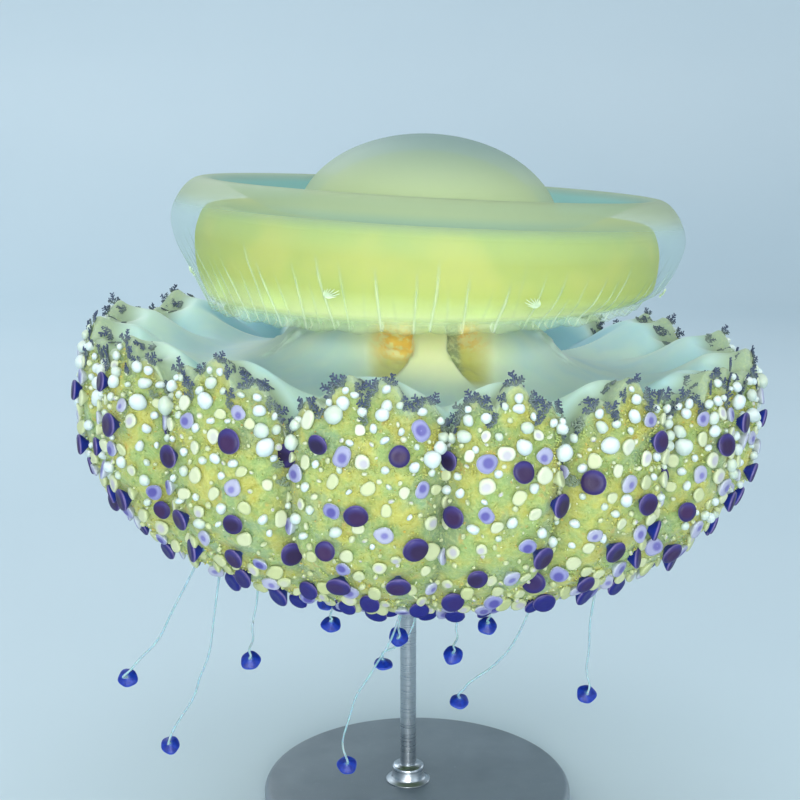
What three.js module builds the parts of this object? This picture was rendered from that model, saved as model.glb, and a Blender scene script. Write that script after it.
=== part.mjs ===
// A fried-egg jellyfish, Cotylorhiza tuberculata, life size, its bell drawn in at the end of a swimming
// stroke, held over a round base by one rod.
// Millimetres, +Z up. The origin is the centre of the base's underside. The animal is built about its own
// axis, with z = 0 near the middle of its arms, then raised and leaned as one group. Bearings are in
// degrees round that axis: 0 faces -Y, the front, and 90 faces +X.
import * as THREE from "three";

const lerp = THREE.MathUtils.lerp;
const smooth = THREE.MathUtils.smoothstep;
const rad = THREE.MathUtils.degToRad;
const turn = (degrees) => THREE.MathUtils.euclideanModulo(degrees, 360);

// --- The pose ---------------------------------------------------------------------------------------
const LEAN = 3; // degrees from upright, the dome towards +X
const PIVOT_HEIGHT = 130; // of the animal's own z = 0 above the floor
const GAP = 0.3; // between pieces that touch

// --- The bell ---------------------------------------------------------------------------------------
const DOME = { radius: 38.5, rise: 26.6, centre: 52, edge: 37.7, underside: 42 };
// The bell's outer face from the foot of the dome, over the rim and down to the margin: [radius, z].
const BELL_OUTER = [
  [38, 57.2], [45, 55], [54, 58.8], [64.5, 63.3], [70.3, 61], [74.2, 53.5], [73, 46], [68.2, 37], [63.2, 27],
];
// Its inner face, from the roof of the hollow down to the margin.
const BELL_INNER = [[38, 42.5], [50, 44.5], [60, 44.8], [66, 42], [66.2, 37.5], [63.4, 32], [60.4, 27]];
const RIM_SHARE = { outer: 0.735, inner: 0.55 }; // of each face; the rest is the margin's
const MARGIN_GAP = 0.013; // of a face, left between the rim and the margin
const OCTANTS = 8;
const FIRST_RHOPALIUM = 23; // bearing of one of the eight sense organs, where two octants meet
const LAPPETS = { perOctant: 4, height: 1.3 };

// --- The trunk under the bell -----------------------------------------------------------------------
const TRUNK = { radius: 20, shoulder: 13.4, floor: -54.5, core: 14, top: 41.7 };
const PILLARS = 4;
const FIRST_PILLAR = 3;
const PILLAR = { inner: 14.6, outer: 23, round: 1.8, foot: 14.9, halfWaist: 20, halfEnd: 38 };

// --- The eight arms ---------------------------------------------------------------------------------
const ARMS = 8;
// The arms' outer face: below its centre a superellipse, which sags a little to one side, and above it a
// gentle taper.
const BODY = { radius: 99.6, centre: 0.5, taper: 116, depth: 55.5, power: 2.2, sag: 2.5, sagBearing: 265 };
const ARM_INNER = TRUNK.radius + GAP;
const EDGE = { top: 26.5, radius: 92.5, thickness: 1.6 };
const BOWL = { floor: 14.5, start: 55 };
// The bearings where one lobe of the arms' edge meets the next. Even places are between two arms, odd
// ones are the cleft in the middle of an arm.
const LOBE_EDGES = [3.5, 21.5, 41, 66, 89, 111, 135, 158, 182, 204, 228, 250, 273, 295, 316.2, 339.4];
const VALLEY = { cleft: 13.5, between: 10, reach: 58, groove: 5.5 };
const NOTCH = { depth: 5.5, reach: 82 };
const WIDE_LOBE = 23.9; // degrees; from here a lobe's edge carries four tips, and below it three
const WINDOW = { depth: 13, halfWidth: 26, start: 14, peak: 40, end: 76 };
// An arm's smooth upper part lies on its frill along a shallow cone.
const PLATE = { outer: 84, innerFloor: -6, outerFloor: 1 };

// --- The filaments ----------------------------------------------------------------------------------
const THREAD = { radius: 0.5, sides: 6, stepLength: 6 };
const ROOT_DROP = 1.2; // of a thread's upper end below the arms' underside, which slopes there
const DISC = { radius: 2.8, thickness: 2, sides: 10 };
// Root on the arms' underside [x, y], places on the way, tip, how far the disc nods to the front in
// degrees, and the number of lengths that the thread is divided into.
const FILAMENTS = [
  { root: [-60, -25], way: [[-72, -25, -69]], tip: [-80.8, -26, -82], nod: 50, lengths: 1 },
  {
    root: [-55, -20],
    way: [[-58, -20, -74], [-62, -21, -88]],
    tip: [-68.7, -21, -104.7],
    nod: 40,
    lengths: 2,
  },
  { root: [-43, -32], way: [[-44, -34, -62]], tip: [-44.2, -36, -70.7], nod: 45, lengths: 1 },
  {
    root: [-1, -30],
    way: [[-5, -30, -66], [-10, -30, -75], [-14, -30, -84], [-17, -30, -95]],
    tip: [-15.5, -30, -104],
    nod: 45,
    lengths: 2,
  },
  { root: [4, -26], way: [[0, -24, -66]], tip: [-6.4, -20, -76], nod: 15, lengths: 1 },
  { root: [38, -25], way: [[30, -25, -68], [21, -25, -77]], tip: [16.5, -25, -84.5], nod: 25, lengths: 1 },
  { root: [54, -25], way: [[53, -25, -66]], tip: [53.5, -26, -80], nod: 50, lengths: 1 },
  { root: [-22, 44], way: [[-24, 47, -68]], tip: [-27, 50, -83], nod: 30, lengths: 1 },
  { root: [14, -31], way: [[14, -33, -60]], tip: [13.2, -35, -66.5], nod: 45, lengths: 1 },
];

// --- The stand --------------------------------------------------------------------------------------
const BASE = { radius: 48, height: 8, bevel: 1.2, sides: 40 };
const ROD = { radius: 2.5, sides: 20 };

const GEL = { color: 0xb7d3b8, roughness: 0.25, metalness: 0 };
const YOLK = { color: 0xc9dd86, roughness: 0.35, metalness: 0 };
const ARM_GEL = { color: 0x8fbec0, roughness: 0.35, metalness: 0 };
const FRILL = { color: 0xb3ba72, roughness: 0.55, metalness: 0 };
const THREAD_GEL = { color: 0x8fb4b4, roughness: 0.4, metalness: 0 };
const NAVY = { color: 0x14206e, roughness: 0.45, metalness: 0 };
const SLATE = { color: 0x3a3d40, roughness: 0.35, metalness: 0.2 };
const STEEL = { color: 0xb4b8ba, roughness: 0.3, metalness: 1 };

// --- Making solids ----------------------------------------------------------------------------------

const steps = (from, to, count) => Array.from({ length: count + 1 }, (_, i) => lerp(from, to, i / count));
const flat = (points) => points.map(([r, z]) => new THREE.Vector2(r, z));
const along = (curve, from, to, count) => steps(from, to, count).map((u) => curve.getPoint(u).toArray());
const lathe = (points, sides) => new THREE.LatheGeometry(flat(points), sides).rotateX(Math.PI / 2);

function piece(name, geometry, look) {
  const mesh = new THREE.Mesh(geometry, new THREE.MeshStandardMaterial({ ...look, flatShading: true }));
  mesh.name = name;
  return mesh;
}

/** A point at a radius, a bearing and a height, then moved aside towards larger bearings. */
function polar(radius, bearing, z, aside = 0) {
  const out = new THREE.Vector3(Math.sin(rad(bearing)), -Math.cos(rad(bearing)), 0);
  const across = new THREE.Vector3(-out.y, out.x, 0);
  return out.multiplyScalar(radius).addScaledVector(across, aside).setZ(z);
}

/** The closed solid through loops of points, with an end face of the given triangles on both ends. */
function loft(loops, endFace) {
  const count = loops[0].length;
  const last = (loops.length - 1) * count;
  const index = [];
  for (let start = 0; start < last; start += count)
    for (let j = 0; j < count; j++) {
      const [a, b] = [start + j, start + ((j + 1) % count)];
      index.push(a, b + count, b, a, a + count, b + count);
    }
  for (const [a, b, c] of endFace) index.push(a, b, c, last + a, last + c, last + b);
  const geometry = new THREE.BufferGeometry().setFromPoints(loops.flat());
  return geometry.setIndex(index);
}

/** A wedge of the animal: the outline [radius, z], anticlockwise, at each bearing in turn. */
function wedge(bearings, outlineAt) {
  const loops = bearings.map((bearing, i) => {
    const aside = i === 0 ? GAP / 2 : i === bearings.length - 1 ? -GAP / 2 : 0;
    return outlineAt(bearing).map(([r, z]) => polar(r, bearing, z, aside));
  });
  return loft(loops, THREE.ShapeUtils.triangulateShape(flat(outlineAt(bearings[0])), []));
}

// --- Bell pieces ------------------------------------------------------------------------------------

const bellOuter = new THREE.SplineCurve(flat(BELL_OUTER));
const bellInner = new THREE.SplineCurve(flat(BELL_INNER));

function bellDome() {
  const surface = steps(DOME.edge, 0, 7).map((r) => [
    r,
    DOME.centre + DOME.rise * Math.sqrt(1 - (r / DOME.radius) ** 2),
  ]);
  return lathe([[0, DOME.underside], [DOME.edge, DOME.underside], ...surface], 32);
}

function octantBearings(k, intervals) {
  const width = 360 / OCTANTS;
  const start = FIRST_RHOPALIUM + k * width;
  return steps(start, start + width, intervals);
}

/** An eighth of the thick rim round the dome. */
function bellRim(k) {
  const outline = [...along(bellInner, 0, RIM_SHARE.inner, 3), ...along(bellOuter, RIM_SHARE.outer, 0, 7)];
  return wedge(octantBearings(k, 6), () => outline);
}

/** An eighth of the wall under the rim, its lower edge waved into lappets. */
function bellMargin(k) {
  const inner = along(bellInner, RIM_SHARE.inner + MARGIN_GAP, 1, 3);
  const outer = along(bellOuter, 1, RIM_SHARE.outer + MARGIN_GAP, 4);
  return wedge(octantBearings(k, 2 * LAPPETS.perOctant), (bearing) => {
    const wave = rad((bearing - FIRST_RHOPALIUM) * OCTANTS * LAPPETS.perOctant);
    const lift = ([r, z], lowest) => [r, lowest ? z + LAPPETS.height * Math.cos(wave) : z];
    return [
      ...inner.map((point, i) => lift(point, i === inner.length - 1)),
      ...outer.map((point, i) => lift(point, i === 0)),
    ];
  });
}

// --- Trunk pieces -----------------------------------------------------------------------------------

/** The column that carries the arms, with a narrower core up to the dome behind the four windows. */
const trunk = () =>
  lathe(
    [
      [0, TRUNK.floor],
      [TRUNK.radius, TRUNK.floor],
      [TRUNK.radius, TRUNK.shoulder],
      [TRUNK.core, TRUNK.shoulder],
      [TRUNK.core, TRUNK.top],
      [0, TRUNK.top],
    ],
    32,
  );

/** One of the pillars between the windows: narrow at its waist, spreading to an arch at both ends. */
function pillar(k) {
  const centre = FIRST_PILLAR + (k * 360) / PILLARS;
  const across = steps(-1, 1, 4);
  const loops = steps(PILLAR.foot, TRUNK.top, 5).map((z) => {
    const fromWaist = Math.abs((2 * (z - PILLAR.foot)) / (TRUNK.top - PILLAR.foot) - 1);
    const half = lerp(PILLAR.halfWaist, PILLAR.halfEnd, fromWaist ** 2.4);
    const inside = across.map((u) => polar(PILLAR.inner, centre + u * half, z));
    const outside = across.map((u) => polar(PILLAR.outer - PILLAR.round * u ** 2, centre + u * half, z));
    return [...inside, ...outside.reverse()];
  });
  const endFace = across.slice(1).flatMap((_, i) => {
    const [a, b, c, d] = [i, i + 1, 2 * across.length - 2 - i, 2 * across.length - 1 - i];
    return [[a, b, c], [a, c, d]];
  });
  return loft(loops, endFace);
}

// --- Arm surfaces -----------------------------------------------------------------------------------

const lobeStart = (i) => LOBE_EDGES[i % LOBE_EDGES.length];
const lobeWidth = (i) => turn(lobeStart(i + 1) - lobeStart(i));
const tipsOn = (i) => (lobeWidth(i) >= WIDE_LOBE ? 4 : 3);

/** The lobe that a bearing is in, and how far across it, from -1 to 1. */
function lobeAt(bearing) {
  const i = LOBE_EDGES.findIndex((start, k) => turn(bearing - start) < lobeWidth(k));
  return { i, across: (2 * turn(bearing - lobeStart(i))) / lobeWidth(i) - 1 };
}

/** How far the valleys between lobes cut the edge down. */
function valleyDrop(bearing) {
  const { i, across } = lobeAt(bearing);
  const nearest = across < 0 ? i : i + 1;
  return (nearest % 2 ? VALLEY.cleft : VALLEY.between) * across ** 2;
}

/** How far the notches between neighbouring tips cut it down. */
function notchDrop(bearing) {
  const { i, across } = lobeAt(bearing);
  const place = ((across + 1) / 2) * tipsOn(i);
  return NOTCH.depth * Math.abs(2 * (place - Math.floor(place)) - 1);
}

/** The broad hollow in front of each window of the trunk. */
function windowHollow(radius, bearing) {
  const spacing = 360 / PILLARS;
  const off = (turn(bearing - FIRST_PILLAR) % spacing) - spacing / 2;
  const share = Math.max(0, 1 - (off / WINDOW.halfWidth) ** 2) ** 1.5;
  return (
    WINDOW.depth *
    share *
    smooth(radius, WINDOW.start, WINDOW.peak) *
    (1 - smooth(radius, WINDOW.peak, WINDOW.end))
  );
}

/** Height of the arms' smooth upper surface. */
function upperSurface(radius, bearing) {
  const climb = Math.max(0, (radius - BOWL.start) / (EDGE.radius - BOWL.start)) ** 2;
  return (
    lerp(BOWL.floor, EDGE.top, climb) -
    valleyDrop(bearing) * smooth(radius, VALLEY.reach, EDGE.radius) -
    notchDrop(bearing) * smooth(radius, NOTCH.reach, EDGE.radius) -
    windowHollow(radius, bearing)
  );
}

const ellipse = (share) => (1 - share ** BODY.power) ** (1 / BODY.power);
const depthAt = (bearing) => BODY.depth + BODY.sag * Math.cos(rad(bearing - BODY.sagBearing));

/** Radius of the arms' outer face at a height; it is drawn in along the valleys. */
function outerRadius(z, bearing) {
  const up = z - BODY.centre;
  const depth = depthAt(bearing);
  const bulge = up > 0 ? 1 - (up / BODY.taper) ** 2 : ellipse(-up / depth);
  const groove = VALLEY.groove * lobeAt(bearing).across ** 4;
  return BODY.radius * bulge - groove * smooth(z, BODY.centre - depth, BODY.centre);
}

/** Height of the arms' underside, where it turns in to the trunk. */
function underside(radius, bearing) {
  const share = radius / BODY.radius;
  return BODY.centre - lerp(BODY.depth, depthAt(bearing), share) * ellipse(share);
}

/** Bearings across one arm, with one on every tip and one in every notch. */
function armBearings(k) {
  const inLobe = (i) => steps(lobeStart(i), lobeStart(i) + lobeWidth(i), 2 * tipsOn(i));
  return [...inLobe(2 * k), ...inLobe(2 * k + 1).slice(1)];
}

/** An arm's smooth upper part: a plate from the trunk out to the foot of the tips. */
function oralArm(k) {
  return wedge(armBearings(k), (bearing) => [
    [ARM_INNER, PLATE.innerFloor],
    [PLATE.outer, PLATE.outerFloor],
    ...steps(PLATE.outer, ARM_INNER, 4).map((r) => [r, upperSurface(r, bearing)]),
  ]);
}

/** An arm's frill: the studded mass from the tips round and under to the trunk. */
function armFrill(k) {
  const shelf = PLATE.outer + GAP;
  const turnIn = 45; // radius where the underside has a crease
  return wedge(armBearings(k), (bearing) => {
    const edge = upperSurface(EDGE.radius, bearing);
    const edgeRadius = outerRadius(edge, bearing);
    const lowest = BODY.centre - 0.84 * depthAt(bearing);
    const wall = [1, 0.88, 0.7, 0.5, 0.32, 0.15, 0].map((u) => lerp(edge, lowest, u));
    return [
      [ARM_INNER, underside(ARM_INNER, bearing)],
      [turnIn, underside(turnIn, bearing)],
      ...wall.map((z) => [outerRadius(z, bearing), z]),
      [edgeRadius - EDGE.thickness, edge],
      [shelf, upperSurface(shelf, bearing)],
      [shelf, PLATE.outerFloor - GAP],
      [ARM_INNER, PLATE.innerFloor - GAP],
    ];
  });
}

// --- Filaments --------------------------------------------------------------------------------------

/** A filament's thread, in one or more lengths, and the disc on its tip. */
function filament({ root, way, tip, nod, lengths }, number) {
  const name = "filament_" + number;
  const facing = new THREE.Vector3(0, -Math.sin(rad(nod)), Math.cos(rad(nod)));
  const at = (distance) => new THREE.Vector3(...tip).addScaledVector(facing, distance);
  const [x, y] = root;
  const rootZ = underside(Math.hypot(x, y), THREE.MathUtils.radToDeg(Math.atan2(x, -y))) - ROOT_DROP;
  const top = new THREE.Vector3(x, y, rootZ);
  const faceHeight = DISC.thickness / 2 + GAP;
  const middle = way.map((point) => new THREE.Vector3(...point));
  const route = new THREE.CatmullRomCurve3([top, ...middle, at(faceHeight + 2.5), at(faceHeight)]);
  const corner = (t) => new THREE.Vector2(THREAD.radius * Math.cos(t), THREAD.radius * Math.sin(t));
  const section = new THREE.Shape(steps(0, 2 * Math.PI, THREAD.sides).slice(1).map(corner));
  const gapShare = GAP / route.getLength();
  const threads = steps(0, 1, lengths).slice(0, -1).map((from, i) => {
    const start = from + (i ? gapShare : 0);
    const stretch = steps(start, from + 1 / lengths, 8).map((u) => route.getPointAt(u));
    const curve = new THREE.CatmullRomCurve3(stretch);
    const count = Math.max(3, Math.round(curve.getLength() / THREAD.stepLength));
    const tube = new THREE.ExtrudeGeometry(section, { steps: count, extrudePath: curve });
    return piece(name + "_thread" + (lengths > 1 ? "_" + (i + 1) : ""), tube, THREAD_GEL);
  });
  const half = DISC.thickness / 2;
  const rim = 0.8 * DISC.radius;
  const profile = [[0, -half], [rim, -half], [DISC.radius, 0], [rim, half], [0, half]];
  const disc = piece(name + "_disc", lathe(profile, DISC.sides), NAVY);
  disc.quaternion.setFromUnitVectors(new THREE.Vector3(0, 0, 1), facing);
  disc.position.set(...tip);
  return [...threads, disc];
}

// --- The stand --------------------------------------------------------------------------------------

function standBase() {
  const { radius, height, bevel, sides } = BASE;
  return lathe([[0, 0], [radius, 0], [radius, height - bevel], [radius - bevel, height], [0, height]], sides);
}

/** The rod stands upright under the middle of the trunk's leaning floor. */
function standRod() {
  const x = TRUNK.floor * Math.sin(rad(LEAN));
  const foot = BASE.height + GAP;
  const head = PIVOT_HEIGHT + TRUNK.floor * Math.cos(rad(LEAN)) - ROD.radius * Math.sin(rad(LEAN)) - GAP;
  const rod = new THREE.CylinderGeometry(ROD.radius, ROD.radius, head - foot, ROD.sides);
  return rod.rotateX(Math.PI / 2).translate(x, 0, (head + foot) / 2);
}

// --- The whole --------------------------------------------------------------------------------------

const count = (n) => Array.from({ length: n }, (_, k) => k);

const animal = new THREE.Group();
animal.position.z = PIVOT_HEIGHT;
animal.rotation.y = rad(LEAN);
animal.add(
  piece("bell_dome", bellDome(), GEL),
  ...count(OCTANTS).map((k) => piece("bell_rim_" + (k + 1), bellRim(k), GEL)),
  ...count(OCTANTS).map((k) => piece("bell_margin_" + (k + 1), bellMargin(k), YOLK)),
  piece("trunk", trunk(), YOLK),
  ...count(PILLARS).map((k) => piece("pillar_" + (k + 1), pillar(k), YOLK)),
  ...count(ARMS).map((k) => piece("oral_arm_" + (k + 1), oralArm(k), ARM_GEL)),
  ...count(ARMS).map((k) => piece("arm_frill_" + (k + 1), armFrill(k), FRILL)),
  ...FILAMENTS.flatMap((row, i) => filament(row, i + 1)),
);

const jellyfish = new THREE.Group();
jellyfish.add(animal, piece("stand_base", standBase(), SLATE), piece("stand_rod", standRod(), STEEL));

export default jellyfish;
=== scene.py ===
"""A fried-egg jellyfish, Cotylorhiza tuberculata, life size on a display stand.

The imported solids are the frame. The looks are a bell of clear gel over its yolk, one skin for the trunk and
the eight arms, and a coat on that skin of stalked buttons, ferny frills and fine curls.
Shapes are in millimetres in the animal's own frame, as in the CAD: z = 0 is near the middle of the arms,
and a bearing in degrees is 0 at the front, -Y, and 90 at +X. in_world() leans, raises and scales them.
"""
import math

import bpy
import numpy as np
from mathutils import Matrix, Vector, noise


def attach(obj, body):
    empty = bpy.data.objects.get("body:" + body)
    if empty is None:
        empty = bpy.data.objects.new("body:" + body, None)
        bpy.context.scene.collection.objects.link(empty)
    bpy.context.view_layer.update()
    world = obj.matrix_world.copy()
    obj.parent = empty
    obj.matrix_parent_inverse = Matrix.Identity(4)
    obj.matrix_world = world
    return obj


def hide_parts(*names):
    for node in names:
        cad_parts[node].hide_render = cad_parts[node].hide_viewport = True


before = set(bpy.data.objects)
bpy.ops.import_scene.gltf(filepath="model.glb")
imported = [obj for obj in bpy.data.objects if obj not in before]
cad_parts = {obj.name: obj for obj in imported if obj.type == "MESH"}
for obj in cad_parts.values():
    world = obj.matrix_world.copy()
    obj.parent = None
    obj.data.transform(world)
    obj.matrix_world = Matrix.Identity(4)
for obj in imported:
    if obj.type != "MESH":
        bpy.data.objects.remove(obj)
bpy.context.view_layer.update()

MM = 0.001
LEAN = math.radians(3)  # the dome towards +X
PIVOT_HEIGHT = 130  # of the animal's own z = 0 above the floor

# --- The bell, as in the CAD ---
DOME_RADIUS, DOME_RISE, DOME_CENTRE = 38.5, 26.6, 52
BELL_OUTER = np.array(
    [(38, 57.2), (45, 55), (54, 58.8), (64.5, 63.3), (70.3, 61), (74.2, 53.5), (73, 46), (68.2, 37),
     (63.2, 27)]
)
BELL_INNER = np.array([(38, 42.5), (50, 44.5), (60, 44.8), (66, 42), (66.2, 37.5), (63.4, 32), (60.4, 27)])
RHOPALIA = 8
FIRST_RHOPALIUM = 23
LAPPETS = 32
LAPPET_HEIGHT = 0.35  # less than in the CAD, whose waves stand for the fine scallops too

# --- The arms and trunk, as in the CAD ---
BODY_RADIUS, BODY_CENTRE, BODY_TAPER, BODY_DEPTH, BODY_POWER = 99.6, 0.5, 116, 55.5, 2.2
SAG, SAG_BEARING = 2.5, 265
EDGE_TOP, EDGE_RADIUS = 26.5, 92.5
BOWL_FLOOR, BOWL_START = 14.5, 55
LOBE_EDGES = np.array([3.5, 21.5, 41, 66, 89, 111, 135, 158, 182, 204, 228, 250, 273, 295, 316.2, 339.4])
CLEFT_DROP, BETWEEN_DROP, VALLEY_REACH, VALLEY_GROOVE = 13.5, 10, 58, 5.5
NOTCH_DROP, NOTCH_REACH = 5.5, 82
WIDE_LOBE = 23.9
ARMS, PILLARS, FIRST_PILLAR = 8, 4, 3


def srgb(red, green, blue):
    """A colour given as 0 to 255 on a screen, as linear light."""
    share = np.array([red, green, blue]) / 255
    linear = np.where(share <= 0.04045, share / 12.92, ((share + 0.055) / 1.055) ** 2.4)
    return (*linear, 1.0)


def smooth(x, low, high):
    share = np.clip((x - low) / (high - low), 0, 1)
    return share * share * (3 - 2 * share)


def lerp(a, b, share):
    return a + (b - a) * share


def unit(vectors):
    return vectors / np.linalg.norm(vectors, axis=-1, keepdims=True)


def in_world(points):
    """Points of the animal's own frame, in mm, as metres in the part's frame."""
    x, y, z = np.moveaxis(np.asarray(points, float), -1, 0)
    across = x * math.cos(LEAN) + z * math.sin(LEAN)
    height = z * math.cos(LEAN) - x * math.sin(LEAN) + PIVOT_HEIGHT
    return np.stack([across, y, height], -1) * MM


def upright(points):
    """Points above the floor, in mm, as metres."""
    return np.asarray(points, float) * MM


def polar(radius, bearing, z):
    angle = np.radians(bearing)
    return np.stack(np.broadcast_arrays(radius * np.sin(angle), -radius * np.cos(angle), z), -1)


def through(points, share):
    """Places at shares 0 to 1 along a uniform Catmull-Rom curve through the points, as in the CAD."""
    place = np.clip(share, 0, 1) * (len(points) - 1)
    start = np.minimum(place.astype(int), len(points) - 2)
    t = (place - start)[:, None]
    before, a, b, after = [points[np.clip(start + k, 0, len(points) - 1)] for k in (-1, 0, 1, 2)]
    out, into = (b - before) / 2, (after - a) / 2
    return (2 * a - 2 * b + out + into) * t**3 + (3 * b - 3 * a - 2 * out - into) * t**2 + out * t + a


def lumps(points, size, seed):
    """Smooth noise, from about -1 to 1, with lumps of about a given size."""
    shift = Vector((seed * 13.7, seed * 7.1, seed * 3.3))
    flat = np.asarray(points, float).reshape(-1, 3) / size
    return np.array([noise.noise(Vector(p) + shift) for p in flat]).reshape(np.shape(points)[:-1])


# --- Meshes ---


def mesh_object(name, points, faces, material, values=None, place=in_world):
    """A smooth piece from points in mm and lists of faces, with a number per point for each value."""
    mesh = bpy.data.meshes.new(name)
    mesh.vertices.add(len(points))
    mesh.vertices.foreach_set("co", place(points).ravel())
    corners = np.concatenate([face.ravel() for face in faces])
    sizes = np.concatenate([np.full(len(face), face.shape[1]) for face in faces])
    mesh.loops.add(len(corners))
    mesh.loops.foreach_set("vertex_index", corners)
    mesh.polygons.add(len(sizes))
    mesh.polygons.foreach_set("loop_start", np.cumsum(sizes) - sizes)
    mesh.polygons.foreach_set("use_smooth", np.ones(len(sizes), bool))
    mesh.update(calc_edges=True)
    for key, numbers in (values or {}).items():
        layer = mesh.attributes.new(key, "FLOAT", "POINT")
        layer.data.foreach_set("value", np.asarray(numbers, float).ravel())
    mesh.materials.append(material)
    piece = bpy.data.objects.new(name, mesh)
    bpy.context.collection.objects.link(piece)
    return piece


def joined(parts):
    """The points and faces of many (points, faces) parts as one."""
    points, faces, start = [], [], 0
    for own_points, own_faces in parts:
        points.append(own_points)
        faces += [face + start for face in own_faces]
        start += len(own_points)
    return np.concatenate(points), faces


def band(upper, lower, count):
    """Faces between two rings with the same count of points, each ring given by its first point."""
    j = np.arange(count)
    k = (j + 1) % count
    return np.stack([upper + j, lower + j, lower + k, upper + k], -1)


def fan(ring, count, pole, above):
    """Faces between a ring and one point above or below it."""
    j = np.arange(count)
    k = (j + 1) % count
    corners = (ring + j, ring + k) if above else (ring + k, ring + j)
    return np.stack([np.full(count, pole), *corners], -1)


def between_rings(upper, lower, count, next_count):
    """Faces between two rings of points: of the same count, or one with three times the other's."""
    if count == next_count:
        return [band(upper, lower, count)]
    j = np.arange(min(count, next_count))
    k = (j + 1) % len(j)
    fine_start, fine_count = (lower, next_count) if next_count > count else (upper, count)
    f0, f1, f2, f3 = [fine_start + (3 * j + step) % fine_count for step in range(4)]
    if next_count > count:
        c0, c1 = upper + j, upper + k
        corners = [(c0, f0, f1), (c0, f1, c1), (c1, f1, f2), (c1, f2, f3)]
    else:
        c0, c1 = lower + j, lower + k
        corners = [(f0, c0, f1), (f1, c0, c1), (f1, c1, f2), (f2, c1, f3)]
    return [np.stack(corner, -1) for corner in corners]


def ring_faces(counts):
    """Faces of a closed skin whose points are a pole, rings from the top down, and a pole."""
    starts = 1 + np.cumsum([0, *counts])
    faces = [fan(starts[0], counts[0], 0, True)]
    for row in range(len(counts) - 1):
        faces += between_rings(starts[row], starts[row + 1], counts[row], counts[row + 1])
    return [*faces, fan(starts[-2], counts[-1], starts[-1], False)]


def tube(points, radii, sides=5):
    """A round twig along points with a rounded end: its points and faces."""
    points = np.asarray(points, float)
    along = unit(np.gradient(points, axis=0))
    side = unit(np.cross(along, (0.13, 0.21, 1.0)))
    other = np.cross(along, side)
    angle = np.arange(sides) * 2 * math.pi / sides
    rings = [
        p + r * (np.outer(np.cos(angle), a) + np.outer(np.sin(angle), b))
        for p, r, a, b in zip(points, radii, side, other)
    ]
    starts = [row * sides for row in range(len(points))]
    quads = [band(start + sides, start, sides) for start in starts[:-1]]
    cap = fan(starts[-1], sides, len(points) * sides, True)
    return np.concatenate([*rings, [points[-1] + along[-1] * radii[-1] * 0.9]]), [*quads, cap]


# --- Materials ---


class Paint:
    """One material: a Principled shader with its own settings, and nodes that feed it."""

    def __init__(self, name, **settings):
        self.material = bpy.data.materials.new(name)
        self.material.use_nodes = True
        self.tree = self.material.node_tree
        self.shader = self.tree.nodes["Principled BSDF"]
        for key, value in settings.items():
            self.shader.inputs[key.replace("_", " ").title().replace("Ior", "IOR")].default_value = value

    def node(self, kind, inputs=(), **settings):
        made = self.tree.nodes.new("ShaderNode" + kind)
        for key, value in settings.items():
            setattr(made, key, value)
        for key, value in dict(inputs).items():
            self.feed(made.inputs[key], value)
        return made

    def feed(self, socket, value):
        if isinstance(value, bpy.types.NodeSocket):
            self.tree.links.new(value, socket)
        else:
            socket.default_value = value

    def set(self, key, value):
        self.feed(self.shader.inputs[key], value)

    def finished(self, colour, alpha=None):
        """The material, with its colour and perhaps its alpha from nodes."""
        self.set("Base Color", colour)
        if alpha is not None:
            self.set("Alpha", alpha)
        return self.material

    def values(self, *names):
        """The mesh's own values of these names."""
        return [self.node("Attribute", attribute_name=name).outputs["Fac"] for name in names]

    def place(self):
        return self.node("TexCoord").outputs["Object"]

    def noise(self, size, detail=3.0, roughness=0.5):
        """Cloudy noise from 0 to 1, with clouds of about a size in mm."""
        inputs = {"Vector": self.place(), "Scale": 1 / (size * MM)}
        inputs |= {"Detail": detail, "Roughness": roughness}
        return self.node("TexNoise", inputs).outputs["Fac"]

    def maths(self, operation, a, b=0.0):
        return self.node("Math", {0: a, 1: b}, operation=operation).outputs[0]

    def times(self, a, b):
        return self.maths("MULTIPLY", a, b)

    def rise(self, value, low, high, low_out=0.0, high_out=1.0):
        """A smooth step: low_out up to low, high_out from high."""
        inputs = {"Value": value, "From Min": low, "From Max": high, "To Min": low_out, "To Max": high_out}
        return self.node("MapRange", inputs, interpolation_type="SMOOTHSTEP").outputs["Result"]

    def clouds(self, size, detail, low, high, low_out=0.0, high_out=1.0):
        """Noise with its middle range spread by a smooth step."""
        return self.rise(self.noise(size, detail), low, high, low_out, high_out)

    def mix(self, share, a, b):
        """From colour a to b. A colour is a node's, or red, green and blue from 0 to 255."""
        a, b = [srgb(*colour) if isinstance(colour, tuple) else colour for colour in (a, b)]
        return self.node("Mix", {0: share, 6: a, 7: b}, data_type="RGBA").outputs[2]

    def over(self, colour, *layers):
        """A colour with others laid over it, one after another, each given as (share, colour)."""
        for share, layer in layers:
            colour = self.mix(share, colour, layer)
        return colour

    def ramp(self, value, stops):
        made = self.node("ValToRGB", {"Fac": value})
        elements = made.color_ramp.elements
        elements.remove(elements[1])
        for i, (place, colour) in enumerate(stops):
            stop = elements[0] if i == 0 else elements.new(place)
            stop.position = place
            stop.color = srgb(*colour)
        return made.outputs["Color"]

    def bump(self, height, depth, strength=1.0):
        """Fine relief of a depth in mm, added to what the shader has."""
        under = self.shader.inputs["Normal"]
        inputs = {"Height": height, "Distance": depth * MM, "Strength": strength}
        if under.is_linked:
            inputs["Normal"] = under.links[0].from_socket
        self.set("Normal", self.node("Bump", inputs).outputs["Normal"])


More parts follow.
